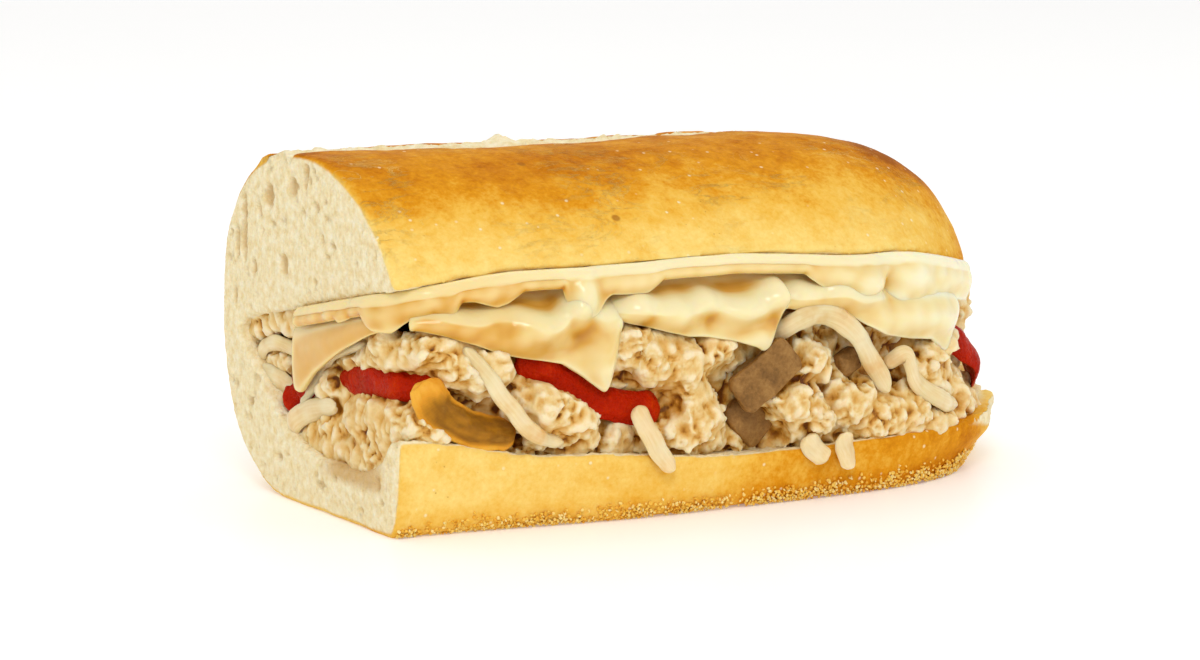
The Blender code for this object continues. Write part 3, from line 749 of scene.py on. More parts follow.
def floor_look():
    look = Look(
        "studio_floor", Specular_IOR_Level=0.3, Emission_Color=(1.0, 1.0, 1.0, 1.0), Emission_Strength=0.2
    )
    shade = look.noise(400.0, 2.0, 0.5)
    look.set(Base_Color=look.mix(shade, linear("F4F3F1"), linear("FAF9F7")), Roughness=0.34 + shade * 0.04)
    return look.material


# Bread.


def ring_points(x, count):
    """One fine section of the whole roll."""
    front, back = (float(v) for v in side_y(x))
    middle = (front + back) / 2.0
    waist = float(shoulder_z(x))
    angle = np.linspace(0.0, 2.0 * math.pi, count, endpoint=False)
    c, s = np.cos(angle), np.sin(angle)
    upper = s > 0.0
    square = squareness(upper, c > 0.0)
    y = middle + (back - middle) * power(c, 2.0 / square)
    z = waist + np.where(upper, crest_z(x) - waist, base_height(x)) * power(s, 2.0 / square)
    z = np.maximum(0.0, np.where(upper, z + score_relief(x, y), z))
    lean = BASE_LEAN * (1.0 - smooth(0.0, 22.0, z))
    y = np.where(~upper & (c < 0.0), y + lean, y)
    return np.stack([x - end_shift(x, z), y, z], -1)


def mouth_points(station):
    """One section of the wedge that is cut out of the roll."""
    x = min(station, MOUTH_END_X)
    front = float(side_y(x)[0])
    tip = float(hinge_y(x))
    width = max(8.0, tip - front)
    lip = float(lower_lip_z(x))
    floor = min(FLOOR_Z + float(bed(x)), lip - 1.5)
    ahead = front - 30.0
    roof_y = [front + width * t for t in (0.0, 0.2, 0.4, 0.6, 0.8, 0.94)]
    roof = [(ahead, float(upper_lip_z(x)) + 4.0)] + [(y, float(roof_z(x, y))) for y in roof_y]
    tip_z = float(roof_z(x, tip)) - 1.5
    lower = [
        (tip - width * 0.02, tip_z - 3.0),
        (tip - width * 0.1, tip_z - 8.5),
        (tip - width * 0.22, floor + 9.0),
        (tip - width * 0.36, floor + 2.5),
        (tip - width * 0.5, floor),
        (front + width * 0.24, floor),
        (front + width * 0.13, floor + 0.35 * (lip - floor)),
        (front + width * 0.07, lip - 0.8),
        (front + width * 0.02, lip),
        (ahead, lip - 2.0),
    ]
    return np.array([(station, y, z) for y, z in [*roof, (tip, tip_z), *lower]])


def rind_depth(points):
    """How deep points lie under the roll's outer surface, in millimetres."""
    x = points[:, 0].copy()
    for _ in range(4):
        x = points[:, 0] + end_shift(x, points[:, 2])
    front, back = side_y(x)
    middle = (front + back) / 2.0
    half = np.maximum(2.0, (back - front) / 2.0)
    waist = shoulder_z(x)
    top = np.maximum(2.0, crest_z(x) - waist)
    lean = np.where(points[:, 1] < middle, BASE_LEAN * (1.0 - smooth(0.0, 22.0, points[:, 2])), 0.0)
    dy = points[:, 1] - lean - middle
    dz = points[:, 2] - waist
    upper = dz > 0.0
    square = squareness(upper, dy > 0.0)
    tall = np.where(upper, top, base_height(x))
    share = (np.abs(dy) / half) ** square + (np.abs(dz) / tall) ** square
    share = np.maximum(1e-6, share) ** (1.0 / square)
    reach = np.hypot(dy, dz) / np.maximum(share, 0.05)
    depth = (1.0 - share) * reach
    return np.where(~upper, np.minimum(depth, points[:, 2] + 0.2), depth)


# The larger holes in the crumb of the cut face: place across it and up it, half sizes, and depth.
PORES = [
    (33.0, 61.0, 1.5, 8.5, 2.6),
    (36.5, 57.0, 1.2, 4.0, 1.8),
    (20.0, 70.0, 2.4, 3.0, 1.8),
    (8.0, 73.5, 2.2, 2.4, 1.4),
    (12.5, 54.5, 2.0, 2.8, 1.4),
    (25.0, 66.0, 1.0, 2.0, 1.2),
    (1.5, 76.0, 1.0, 4.0, 1.6),
    (-4.0, 70.0, 1.6, 1.2, 1.0),
    (-12.0, 62.0, 1.4, 1.0, 0.9),
    (28.0, 52.0, 1.2, 2.2, 1.3),
    (38.0, 44.0, 1.0, 2.2, 1.1),
    (30.0, 19.0, 1.6, 1.2, 1.2),
    (15.0, 8.0, 1.8, 1.0, 1.0),
    (-6.0, 5.0, 2.0, 0.9, 0.9),
    (-34.0, 10.0, 1.2, 1.8, 1.0),
]


def crumb_hollows(y, z, rng):
    """Depth in millimetres of the holes at points of the cut face."""
    hollow = np.zeros(len(y))
    pores = list(PORES)
    for _ in range(150):
        size = rng.uniform(0.4, 1.0)
        at_y, at_z = rng.uniform(-44.0, 44.0), rng.uniform(1.0, 80.0)
        pores.append((at_y, at_z, size * rng.uniform(0.8, 1.4), size, size * 0.8))
    for at_y, at_z, half_y, half_z, deep in pores:
        near = ((y - at_y) / half_y) ** 2 + ((z - at_z - BED_RISE) / half_z) ** 2
        hollow = np.maximum(hollow, deep * (1.0 - smooth(0.35, 1.25, near)))
    return hollow


def cut_roll(grain):
    """The roll with its mouth cut out, as an even mesh that is finer on the cut face."""
    stations = CUT_X + (END_X - 0.3 - CUT_X) * np.sin(np.linspace(0.0, math.pi / 2.0, 110)) ** 0.97
    roll = link("bread", tube_mesh("bread", [ring_points(float(x), 220) for x in stations]))
    cut_stations = np.linspace(CUT_X - 8.0, END_X + 8.0, 60)
    mouth = link("mouth_cutter", tube_mesh("mouth", [mouth_points(float(x)) for x in cut_stations]))
    cut = roll.modifiers.new("mouth", "BOOLEAN")
    cut.object = mouth
    cut.solver = "EXACT"
    bake_modifiers(roll)
    bpy.data.objects.remove(mouth, do_unlink=True)
    remesh(roll, grain)
    bm = bmesh.new()
    bm.from_mesh(roll.data)
    face_edges = [e for e in bm.edges if all(v.co.x < CUT_X + 0.4 for v in e.verts)]
    bmesh.ops.subdivide_edges(bm, edges=face_edges, cuts=1, use_grid_fill=True)
    bm.to_mesh(roll.data)
    bm.free()
    return roll


def make_bread(settings):
    rng = random.Random(11)
    roll = cut_roll(settings.bread_grain)
    mesh = roll.data
    points = relax(coordinates(mesh), edge_pairs(mesh), 2)
    move_to(mesh, points)
    depth = rind_depth(points)
    out = normals(mesh)
    face = smooth(0.6, 0.95, -out[:, 0]) * (points[:, 0] < CUT_X + 1.5)
    across = score_across(points[:, 0], points[:, 1])
    torn = (across > 0.03) & (across < 1.0) & (points[:, 2] > 55.0) & (depth < 3.0)
    reach = score_reach(points[:, 0])
    torn = np.where(torn, reach, 0.0)
    rough = field(points, 1.9, 1) * 0.5 + field(points, 0.9, 2) * 0.3
    crumb = smooth(0.8, 2.2, depth)
    hollow = np.zeros(len(points))
    on_face = face > 0.05
    hollow[on_face] = crumb_hollows(points[on_face, 1], points[on_face, 2], rng) * face[on_face]
    hollow *= smooth(1.0, 2.5, depth)
    lift = (rough * crumb * np.where(on_face, 0.45, 0.8)) - hollow
    tuft = np.exp(-((points[:, 0] + 34.0) ** 2 + (points[:, 1] - 13.0) ** 2) / 9.0)
    lift += torn * (field(points, 3.2, 3) * 0.8 + rough * 1.1 + tuft * 1.6 - 0.7)
    crust = 1.0 - crumb
    wrinkles = field(points, 17.0, 4) * 0.4 + field(points, 6.0, 5) * 0.16 + field(points, 2.4, 6) * 0.07
    lift += crust * wrinkles
    points = points + out * lift[:, None]
    points[:, 2] = np.maximum(points[:, 2], 0.0)
    move_to(mesh, points)
    x, y, z = points.T
    ledge = smooth(35.0, 70.0, x) * (z < 22.0) * smooth(0.3, 0.8, out[:, 2])
    attribute(mesh, "rind", np.where(torn > 0.3, 2.5, depth * (1.0 - 0.9 * ledge)))
    # Painted shade in the crumb's holes, stored for the shader.
    attribute(mesh, "pore_shade", smooth(0.15, 1.2, hollow))
    # A darker tan on the crumb along the floor of the mouth, near the cut end.
    tan_across = smooth(-40.0, -30.0, y) * (1.0 - smooth(-14.0, -4.0, y))
    tan_patch = tan_across * (1.0 - smooth(15.0, 21.0, z)) * smooth(8.0, 11.0, z)
    attribute(mesh, "floor_tan", tan_patch * (x < CUT_X + 16.0))
    bake = 0.38 * smooth(63.0, 82.0, z) + 0.26 * smooth(0.35, 1.0, out[:, 2]) * (z > 60.0) + 0.08
    edge = np.exp(-((across / 0.35) ** 2)) * (z > 60.0) * reach
    bun = (1.0 - smooth(24.0, 34.0, z)) * (1.0 - smooth(-30.0, -5.0, y))
    bun_bake = 0.14 + 0.42 * smooth(-60.0, 60.0, x) - 0.5 * smooth(66.0, 92.0, x)
    bake += 0.12 * edge + 0.54 * smooth(35.0, 84.0, x) * smooth(28.0, 50.0, z)
    bake += bun * bun_bake + 0.16 * (1.0 - smooth(2.0, 9.0, z))
    bake += 0.2 * smooth(20.0, 45.0, y) * smooth(25.0, 60.0, z)
    attribute(mesh, "bake", bake)
    finish_piece(roll, bread_look(), "baked_bread", "roll")


# Cheese.


def swelling(s, z, spots):
    """Outward swelling from (length along the rim, height, half length, half height, size) of each bump."""
    total = np.zeros(np.broadcast(s, z).shape)
    for at, level, long, tall, size in spots:
        total += size * np.exp(-(((s - at) / long) ** 2) - ((z - level) / tall) ** 2)
    return total


def drape(name, hem, tuck, profile, spots, thick, step, wave, seed, rises=()):
    """A sheet of cheese that lies under the roof, comes over the lip and hangs to its hem.

    profile holds (how far outside the lip, how far under the roof) of its fold, from inside outward.
    rises holds (length along the rim, half length, height) of the places where the fold is higher or lower.
    """
    start, end = hem[0][0], hem[-1][0]
    columns = max(8, int((end - start) / step))
    s = np.linspace(start, end, columns)
    at, out = rim_at(s)
    reach = tuck * (1.0 - 0.62 * np.exp(-(((s - RIM_CORNER) / 15.0) ** 2)))
    rows_u, rows_z = [], []
    raised = swelling(s, 0.0, [(stop, 0.0, long, 1.0, rise) for stop, long, rise in rises])
    for share, drop in ((1.0, profile[0][1]), (0.66, profile[0][1]), (0.33, profile[0][1])):
        u = -reach * share + profile[0][0]
        inner = at + out * u[:, None]
        rows_u.append(u)
        rows_z.append(roof_z(inner[:, 0], inner[:, 1]) - drop)
    for u, drop in profile:
        rows_u.append(np.full(columns, u))
        inner = at + out * u
        roof = np.minimum(roof_z(inner[:, 0], inner[:, 1]), roof_z(at[:, 0], at[:, 1]))
        rows_z.append(roof - drop + raised * smooth(-8.0, -1.0, u))
    top = rows_z[-1]
    low = np.minimum(bed(at[:, 0]) + ramp(s, hem), top - 1.2)
    hang_rows = max(6, int(np.max(top - low) / step))
    u_top = profile[-1][0]
    for k in range(1, hang_rows + 1):
        share = k / hang_rows
        rows_u.append(np.full(columns, u_top) + 0.5 * math.sin(share * math.pi) - 0.3 * share)
        rows_z.append(top + (low - top) * share)
    u = np.array(rows_u)
    z = np.array(rows_z)
    grid_s = np.broadcast_to(s, u.shape)
    bulge = swelling(grid_s, z - bed(at[:, 0]), spots)
    flat = np.stack([grid_s.ravel(), z.ravel() * 1.3, u.ravel() * 0.0], -1)
    ripple = (field(flat, 9.0, seed) * wave + field(flat, 4.0, seed + 1) * wave * 0.35).reshape(u.shape)
    u = u + bulge + ripple * smooth(-6.0, 0.5, u)
    points = np.concatenate([at[None] + out[None] * u[..., None], z[..., None]], -1)
    rows = len(u)
    mesh = mesh_from(name, points.reshape(-1, 3), grid_faces(rows, columns))
    sheet = link(name, mesh)
    solid = sheet.modifiers.new("thickness", "SOLIDIFY")
    solid.thickness = thick
    solid.offset = 0.0
    soft = sheet.modifiers.new("rounding", "SUBSURF")
    soft.levels = 1
    soft.render_levels = 1
    bake_modifiers(sheet)
    turn_outward(sheet.data)
    return sheet


def lip(stops):
    """(station x, ...) stops to (length along the rim, ...) stops."""
    return [(rim_to(stop[0]), *stop[1:]) for stop in stops]


# Hems of the cheese, as (length along the rim, height), or as (station, height) where lip() turns them.
MELT_HEM = [
    (11.5, 46.4), (14.5, 45.4), (20.4, 43.9), (24.5, 44.6), (27.9, 47.6), (30.5, 47.2), (33.8, 45.4),
    (37.0, 46.6), (39.0, 49.5), (41.4, 50.8), (43.2, 49.6), (44.8, 46.4), (47.0, 45.0), (52.0, 45.0),
]
CUT_HEM = [(7.8, 26.0), (8.8, 24.9), (11.2, 24.9), (17.6, 30.5), (32.6, 38.6), (44.0, 43.7), (48.0, 45.0)]
MELT_LIP_HEM = [
    (-88.0, 46.0), (-85.5, 48.8), (-81.5, 50.0), (-79.0, 47.4), (-77.6, 47.8), (-76.0, 52.6), (-72.5, 52.6),
    (-66.6, 50.4), (-64.0, 51.2), (-60.4, 54.0), (-54.0, 56.2), (-50.0, 55.6), (-48.8, 50.4), (-47.5, 46.6),
    (-42.0, 46.6), (-39.5, 50.0), (-37.5, 51.6), (-28.1, 51.2), (-22.6, 55.3), (-14.4, 56.3), (-7.4, 55.9),
    (13.5, 54.8), (17.0, 51.0), (21.0, 48.4), (30.0, 46.4), (36.5, 46.8), (39.0, 48.6), (43.5, 43.0),
    (48.0, 41.8), (60.0, 41.4), (68.0, 40.0), (71.0, 39.4),
]
SLICE_HEMS = {
    "cheese_slice_middle": [
        (-86.0, 46.8), (-80.0, 45.2), (-76.3, 43.9), (-71.0, 41.8), (-65.8, 39.7), (-57.8, 37.8),
        (-49.8, 35.7), (-44.4, 32.2), (-39.2, 28.2), (-38.2, 28.8), (-37.0, 35.3), (-35.8, 42.2),
        (-34.9, 46.0),
    ],
    "cheese_slice_right": [
        (-38.4, 47.5), (-36.0, 46.0), (-33.0, 44.6), (-24.0, 42.2), (-17.1, 39.9), (-5.9, 38.2),
        (1.2, 36.0), (3.4, 34.6), (4.6, 35.2), (6.8, 39.8), (8.0, 43.5),
    ],
    "cheese_slice_baked_end": [
        (8.6, 45.5), (12.0, 44.4), (17.0, 44.2), (26.0, 42.8), (32.0, 38.7), (38.0, 35.7), (48.0, 33.4),
        (55.0, 32.4), (60.0, 28.8), (61.8, 27.8), (63.2, 31.0), (64.8, 40.0),
    ],
}
# Bulges and dents of the cheese: station, height above the bed, half length, half height, and how far out.
SLICE_SPOTS = {
    "cheese_slice_middle": [
        (-74.0, 48.0, 7.0, 5.0, 1.6),
        (-57.0, 45.4, 7.0, 4.6, 5.0),
        (-45.0, 41.5, 4.6, 5.0, -2.6),
        (-46.0, 50.0, 3.4, 5.0, 4.4),
        (-66.0, 41.5, 9.0, 3.0, 1.0),
        (-39.0, 33.0, 3.0, 5.0, 1.2),
    ],
    "cheese_slice_right": [
        (-38.0, 46.0, 2.6, 9.0, -2.2),
        (-30.0, 48.4, 4.4, 3.2, 3.6),
        (-21.5, 45.8, 5.4, 3.4, 4.0),
        (-12.5, 48.4, 4.0, 2.8, 2.4),
        (-11.0, 43.0, 3.4, 3.0, -1.6),
        (-3.0, 45.2, 5.4, 3.2, 3.8),
        (6.2, 48.6, 4.6, 3.6, 5.0),
        (-28.5, 43.6, 2.6, 3.4, -1.4),
        (0.0, 37.5, 5.0, 2.2, 1.4),
    ],
    "cheese_slice_baked_end": [
        (14.0, 48.0, 4.6, 3.4, 2.6),
        (24.0, 49.6, 5.0, 3.4, 3.2),
        (31.0, 47.0, 5.0, 3.4, 3.0),
        (41.0, 45.0, 3.4, 3.6, -2.4),
        (47.0, 38.5, 13.0, 3.6, 2.4),
        (62.0, 36.5, 9.0, 4.6, 1.6),
    ],
}
# How the cheese folds over the lip: how far outside it and how far under the roof, from inside outward.
MELT_FOLD = [(-1.5, 1.4), (0.2, 0.9), (1.3, 0.5), (1.9, 1.4), (1.5, 2.6)]
CUT_FOLD = [(-2.0, 4.4), (-0.4, 5.2)]
SLICE_FOLD = [(-7.0, 2.6), (-4.6, 4.2), (-3.0, 7.4), (-1.4, 8.8), (0.6, 10.0), (1.9, 12.0)]
SLICE_RISES = {
    "cheese_slice_middle": [(-84.0, 10.0, 4.6), (-46.0, 4.0, 3.6), (-54.0, 4.0, -1.0), (-66.0, 6.0, 1.2)],
    "cheese_slice_right": [
        (-31.0, 4.0, 1.6), (-21.0, 4.0, 0.6), (-13.0, 3.0, 1.2), (-4.0, 4.0, -0.6), (6.4, 4.0, 3.0),
    ],
    "cheese_slice_baked_end": [(14.0, 5.0, 2.0), (24.0, 5.0, 3.0), (34.0, 6.0, 2.0), (60.0, 14.0, 2.6)],
}
MELT_SPOTS = [
    (-82.0, 52.5, 4.0, 3.0, 0.9),
    (-70.0, 54.0, 6.0, 2.6, 1.4),
    (-45.0, 50.5, 3.0, 5.5, 3.6),
    (-33.0, 53.5, 6.0, 2.4, 1.2),
    (-20.0, 57.0, 8.0, 1.6, -0.6),
    (24.0, 51.0, 4.6, 3.4, 2.2),
    (31.5, 48.4, 5.0, 3.6, 3.4),
    (40.6, 46.6, 2.6, 3.0, -4.6),
    (49.0, 48.0, 6.0, 3.6, 2.4),
    (60.0, 46.0, 6.0, 4.0, 1.2),
    (70.0, 44.5, 5.0, 4.0, 1.2),
]


def paint_cheese_shade(sheet):
    """Stores how pale each point is, as painted light and shade: bulges and edges are paler than folds,
    hollows, faces turned down and the part inside.
    """
    points = coordinates(sheet.data)
    lift = standing(sheet.data, points, 16)
    wide = standing(sheet.data, points, 64)
    down = np.clip(-normals(sheet.data)[:, 2], 0.0, 1.0)
    _, out = rim_place(points[:, :2])
    inside = 1.0 - smooth(-6.0, -0.5, out)
    # Painted shade over the cheese near the cut end; paler towards the baked end.
    pale = 0.34 * smooth(15.0, 85.0, points[:, 0]) - 0.22 * (1.0 - smooth(-75.0, -40.0, points[:, 0]))
    # Painted highlight on bulges and edges, painted shade in folds and hollows.
    tone = 0.42 + np.clip(lift * 1.1, -0.2, 0.16) + np.clip(wide * 0.35, -0.12, 0.22)
    # Painted shade on faces turned down and on the part inside the mouth.
    tone = tone - down * 0.15 - inside * 0.5 + pale
    attribute(sheet.data, "tone", np.clip(tone, 0.0, 1.0))


def make_cheese(settings):
    look = cheese_look()
    thick = settings.cheese_thickness / MM
    melt_hem = MELT_HEM + lip(MELT_LIP_HEM)
    melt = drape("melted_layer", melt_hem, 12.0, MELT_FOLD, lip(MELT_SPOTS), thick * 0.8, 0.8, 0.8, 21)
    paint_cheese_shade(melt)
    finish_piece(melt, look, "melted_cheese", "cheese_melt")
    cut_spots = [(24.0, 38.0, 10.0, 6.0, 0.6)]
    corner = drape("slice_cut_end", CUT_HEM, 12.0, CUT_FOLD, cut_spots, thick * 0.72, 0.9, 0.15, 31)
    paint_cheese_shade(corner)
    finish_piece(corner, look, "melted_cheese", "cheese_slice_cut_end")
    for index, (node, hem) in enumerate(SLICE_HEMS.items()):
        sheet = drape(
            node.replace("cheese_", ""), lip(hem), 9.0, SLICE_FOLD,
            lip(SLICE_SPOTS[node]), thick * 0.7, 0.8, 0.7, 41 + 3 * index, lip(SLICE_RISES[node]),
        )
        paint_cheese_shade(sheet)
        finish_piece(sheet, look, "melted_cheese", node)


# Where the strips of pepper, onion and mushroom lie: path, width and the way they face.

LEFT = (-1.0, 0.0, 0.0)

RED_PEPPERS = {
    "red_pepper_cut_end": ([(-88.6, 17.0, 20.5), (-88.8, 11.0, 25.0), (-88.4, 4.0, 29.5)], 9.0, LEFT),
    "red_pepper_corner": (
        [(-88.4, -7.0, 30.5), (-88.6, -19.0, 30.8), (-87.4, -32.0, 32.0), (-83.0, -41.5, 32.6)],
        7.5,
        (-0.8, -0.6, 0.0),
    ),
    "red_pepper_middle": (
        [(-60.0, -42.0, 37.0), (-49.5, -43.4, 33.0), (-39.0, -44.6, 26.5), (-30.0, -45.4, 23.6),
         (-23.0, -44.8, 23.4)],
        8.5,
        (0.0, -1.0, 0.25),
    ),
    "red_pepper_baked_end": (
        [(70.0, -31.5, 31.5), (78.5, -28.5, 25.0), (85.0, -23.0, 16.5)],
        9.0,
        (0.75, -0.65, 0.25),
    ),
}
GREEN_PEPPERS = {
    "green_pepper": (
        [(-84.0, -41.5, 34.5), (-82.0, -44.2, 28.5), (-74.0, -45.4, 23.4), (-62.0, -44.8, 20.8)],
        9.5,
        (-0.1, -1.0, 0.3),
    ),
}
ONIONS = {
    "onion_strand": (
        [(-75.5, -45.2, 42.0), (-70.6, -48.6, 35.5), (-66.0, -49.2, 28.0), (-59.5, -48.8, 21.2),
         (-50.0, -47.4, 17.8)],
        4.4,
        (0.0, -1.0, 0.1),
    ),
    "onion_over_lip": (
        [(-31.5, -48.2, 24.5), (-28.6, -52.2, 17.5), (-24.4, -53.6, 9.6)],
        5.6,
        (0.1, -1.0, 0.25),
    ),
    "onion_arch": (
        [(6.4, -44.6, 36.0), (12.6, -49.2, 41.0), (20.0, -50.4, 42.4), (27.5, -50.4, 38.2),
         (34.0, -49.8, 30.5), (40.0, -48.6, 21.4)],
        5.8,
        (0.0, -1.0, 0.15),
    ),
    "onion_curl": (
        [(40.5, -46.5, 27.5), (45.5, -47.4, 29.8), (49.0, -48.0, 24.0), (57.0, -46.0, 17.5),
         (66.5, -40.5, 14.5)],
        5.0,
        (0.1, -1.0, 0.3),
    ),
    "onion_cut_end_arc": (
        [(-90.2, 15.0, 8.8), (-90.4, 11.6, 15.0), (-90.4, 5.4, 20.2), (-89.6, -8.5, 23.6)],
        5.4,
        LEFT,
    ),
    "onion_cut_end_tip": ([(-89.6, 30.5, 25.4), (-89.2, 23.0, 25.6), (-87.4, 15.5, 23.0)], 6.0, LEFT),
    "onion_cut_end_ring": (
        [(-89.4, 31.0, 28.8), (-90.0, 26.0, 33.2), (-89.6, 19.5, 34.6), (-88.4, 12.5, 32.8)],
        4.0,
        LEFT,
    ),
    "onion_under_cheese": (
        [(-88.6, 8.6, 21.0), (-89.0, 2.2, 30.0), (-89.0, -8.0, 36.4), (-88.0, -20.0, 40.2)],
        3.6,
        LEFT,
    ),
    "onion_bit_left": ([(14.4, -51.4, 13.6), (18.6, -53.4, 7.4)], 6.2, (0.0, -1.0, 0.2)),
    "onion_bit_right": ([(24.6, -51.8, 13.4), (26.2, -53.8, 5.2)], 6.4, (0.2, -1.0, 0.2)),
}
MUSHROOMS = {
    "mushroom_slab": ([(-3.0, -47.4, 23.4), (4.0, -48.2, 28.4), (11.5, -48.6, 34.4)], 10.0, (0.0, -1.0, 0.2)),
    "mushroom_low": ([(-1.0, -42.6, 22.0), (3.4, -43.4, 16.6), (7.0, -43.2, 13.0)], 9.0, (0.0, -1.0, 0.0)),
    "mushroom_back": ([(29.0, -44.6, 32.0), (31.4, -45.0, 26.5)], 6.0, (0.0, -1.0, 0.0)),
}
STRIPS = (RED_PEPPERS, GREEN_PEPPERS, ONIONS, MUSHROOMS)


# Chicken.

# The lumps that show: centre, then half sizes along X, Y and Z.
LUMPS = [
    (-87.0, 31.0, 38.2, 6.0, 7.0, 3.6),
    (-87.0, 19.0, 40.2, 5.5, 7.0, 3.4),
    (-86.0, 24.0, 29.6, 5.0, 7.0, 4.4),
    (-86.6, -3.6, 28.0, 4.6, 4.6, 5.0),
    (-85.5, -15.0, 38.4, 5.0, 7.0, 4.2),
    (-85.0, -28.0, 38.4, 6.0, 7.5, 4.6),
    (-80.0, -37.5, 40.0, 7.5, 7.0, 5.0),
    (-86.0, -20.0, 23.0, 5.0, 6.0, 4.2),
    (-85.0, -31.0, 22.6, 7.0, 8.0, 5.6),
    (-80.5, -38.0, 23.4, 8.0, 7.0, 5.2),
    (-72.0, -39.4, 37.0, 8.5, 7.4, 5.6),
    (-62.5, -40.0, 38.0, 6.5, 6.5, 4.4),
    (-54.5, -42.2, 25.6, 7.6, 8.2, 7.6),
    (-47.0, -41.8, 23.6, 7.0, 8.0, 7.4),
    (-31.5, -41.0, 38.6, 6.8, 7.6, 6.4),
    (-24.0, -41.8, 35.0, 7.0, 7.8, 6.4),
    (-17.5, -41.8, 31.0, 7.6, 8.2, 6.4),
    (-15.0, -42.6, 19.6, 9.0, 8.6, 7.2),
    (-23.5, -40.4, 17.6, 6.4, 8.0, 5.4),
    (-8.0, -41.4, 36.0, 6.6, 7.6, 4.8),
    (13.4, -44.0, 19.4, 8.6, 8.6, 7.6),
    (17.6, -43.4, 31.0, 5.6, 7.0, 5.0),
    (9.0, -42.0, 14.6, 7.0, 7.2, 4.2),
    (30.0, -43.0, 19.4, 7.6, 8.6, 6.6),
    (38.0, -42.2, 14.6, 8.6, 8.6, 6.6),
    (47.0, -40.6, 15.0, 7.8, 8.6, 6.0),
    (55.0, -36.2, 22.4, 8.4, 8.8, 7.6),
    (63.0, -33.6, 16.2, 7.0, 7.6, 5.8),
    (59.0, -34.0, 29.5, 7.6, 7.6, 5.0),
    (71.0, -16.0, 32.0, 6.8, 8.0, 6.6),
    (80.0, -6.0, 24.0, 6.0, 8.0, 6.6),
    (79.0, -9.0, 34.0, 5.6, 7.0, 5.2),
]


# Smaller lumps: they fill the baked end of the mouth down to its lip, and the last one a gap under the melt.
END_CRUMBS = [
    (70.0, -31.0, 13.5, 5.0, 5.0, 3.6),
    (77.0, -24.0, 12.5, 5.0, 5.0, 3.4),
    (83.0, -15.0, 12.5, 4.6, 5.0, 3.4),
    (87.0, -6.0, 13.0, 4.0, 5.0, 3.4),
    (86.0, 2.0, 14.0, 4.0, 5.0, 4.0),
    (86.0, -9.0, 33.0, 4.6, 5.0, 4.6),
    (89.0, -2.0, 34.0, 4.0, 5.0, 4.6),
    (90.0, 0.0, 27.0, 4.0, 5.0, 4.6),
    (84.0, -9.0, 19.0, 4.0, 5.0, 4.0),
    (65.0, -36.0, 12.5, 4.6, 4.6, 3.0),
    (57.0, -41.0, 11.6, 4.6, 4.6, 3.0),
    (-74.0, -38.5, 43.0, 6.0, 6.0, 4.0),
]

# Balls on each lump: size against a knob's, spacing, least and greatest share of the way out, and fineness.
LAYERS = ((2.5, 2.2, 0.55, 0.84, 2), (1.45, 3.0, 0.76, 1.0, 2), (0.8, 5.2, 0.86, 1.06, 1))
LARGE_BALL = 0.8

# The lumps that stand inside the visible ones: height and how far behind the lip.
INNER_ROWS = ((14.5, 6.5), (22.0, 9.0), (29.0, 9.5), (36.0, 9.0))

# The stations between which each part of the heap lies.
HEAPS = {"left": (-200.0, -30.0), "middle": (-30.0, 28.0), "right": (28.0, 200.0)}


def ball(detail):
    """The points and triangles of a ball of radius 1."""
    bm = bmesh.new()
    bmesh.ops.create_icosphere(bm, subdivisions=detail, radius=1.0)
    points = np.array([vert.co for vert in bm.verts])
    faces = np.array([[vert.index for vert in face.verts] for face in bm.faces])
    bm.free()
    return points, faces


def turns(count, rng):
    """Matrices of random turns."""
    four = rng.normal(size=(4, count))
    w, x, y, z = four / np.linalg.norm(four, axis=0)
    rows = [
        1.0 - 2.0 * (y * y + z * z), 2.0 * (x * y - z * w), 2.0 * (x * z + y * w),
        2.0 * (x * y + z * w), 1.0 - 2.0 * (x * x + z * z), 2.0 * (y * z - x * w),
        2.0 * (x * z - y * w), 2.0 * (y * z + x * w), 1.0 - 2.0 * (x * x + y * y),
    ]
    return np.stack(rows, -1).reshape(count, 3, 3)


def blobs(centres, halves, detail, rng):
    """Many slightly uneven balls, as points and triangles."""
    points, faces = ball(detail)
    count = len(points)
    grown = np.einsum("nij,nkj->nki", turns(len(centres), rng), points[None] * halves[:, None, :])
    shift = rng.uniform(-60.0, 60.0, (len(centres), 1, 3))
    uneven = field((points[None] * 1.3 + shift).reshape(-1, 3), 1.0, 1)
    grown *= 1.0 + 0.28 * uneven.reshape(len(centres), count, 1)
    all_faces = faces[None] + (np.arange(len(centres)) * count)[:, None, None]
    return (centres[:, None, :] + grown).reshape(-1, 3), all_faces.reshape(-1, 3)


def triangle_mesh(name, points, faces):
    """A mesh from arrays of points and triangles."""
    mesh = bpy.data.meshes.new(name)
    mesh.vertices.add(len(points))
    mesh.vertices.foreach_set("co", np.ascontiguousarray(points, dtype=np.float32).ravel())
    mesh.loops.add(faces.size)
    mesh.loops.foreach_set("vertex_index", np.ascontiguousarray(faces, dtype=np.int32).ravel())
    mesh.polygons.add(len(faces))
    mesh.polygons.foreach_set("loop_start", np.arange(0, faces.size, 3, dtype=np.int32))
    mesh.update(calc_edges=True)
    mesh.validate()
    return mesh


def around(count, rng):
    """Directions spread evenly round a ball, with some jitter."""
    level = 1.0 - 2.0 * (np.arange(count) + 0.5) / count
    angle = np.arange(count) * 2.39996 + rng.uniform(0.0, 6.28) + rng.uniform(-0.35, 0.35, count)
    flat = np.sqrt(1.0 - level * level)
    return np.stack([flat * np.cos(angle), level, flat * np.sin(angle)], -1)


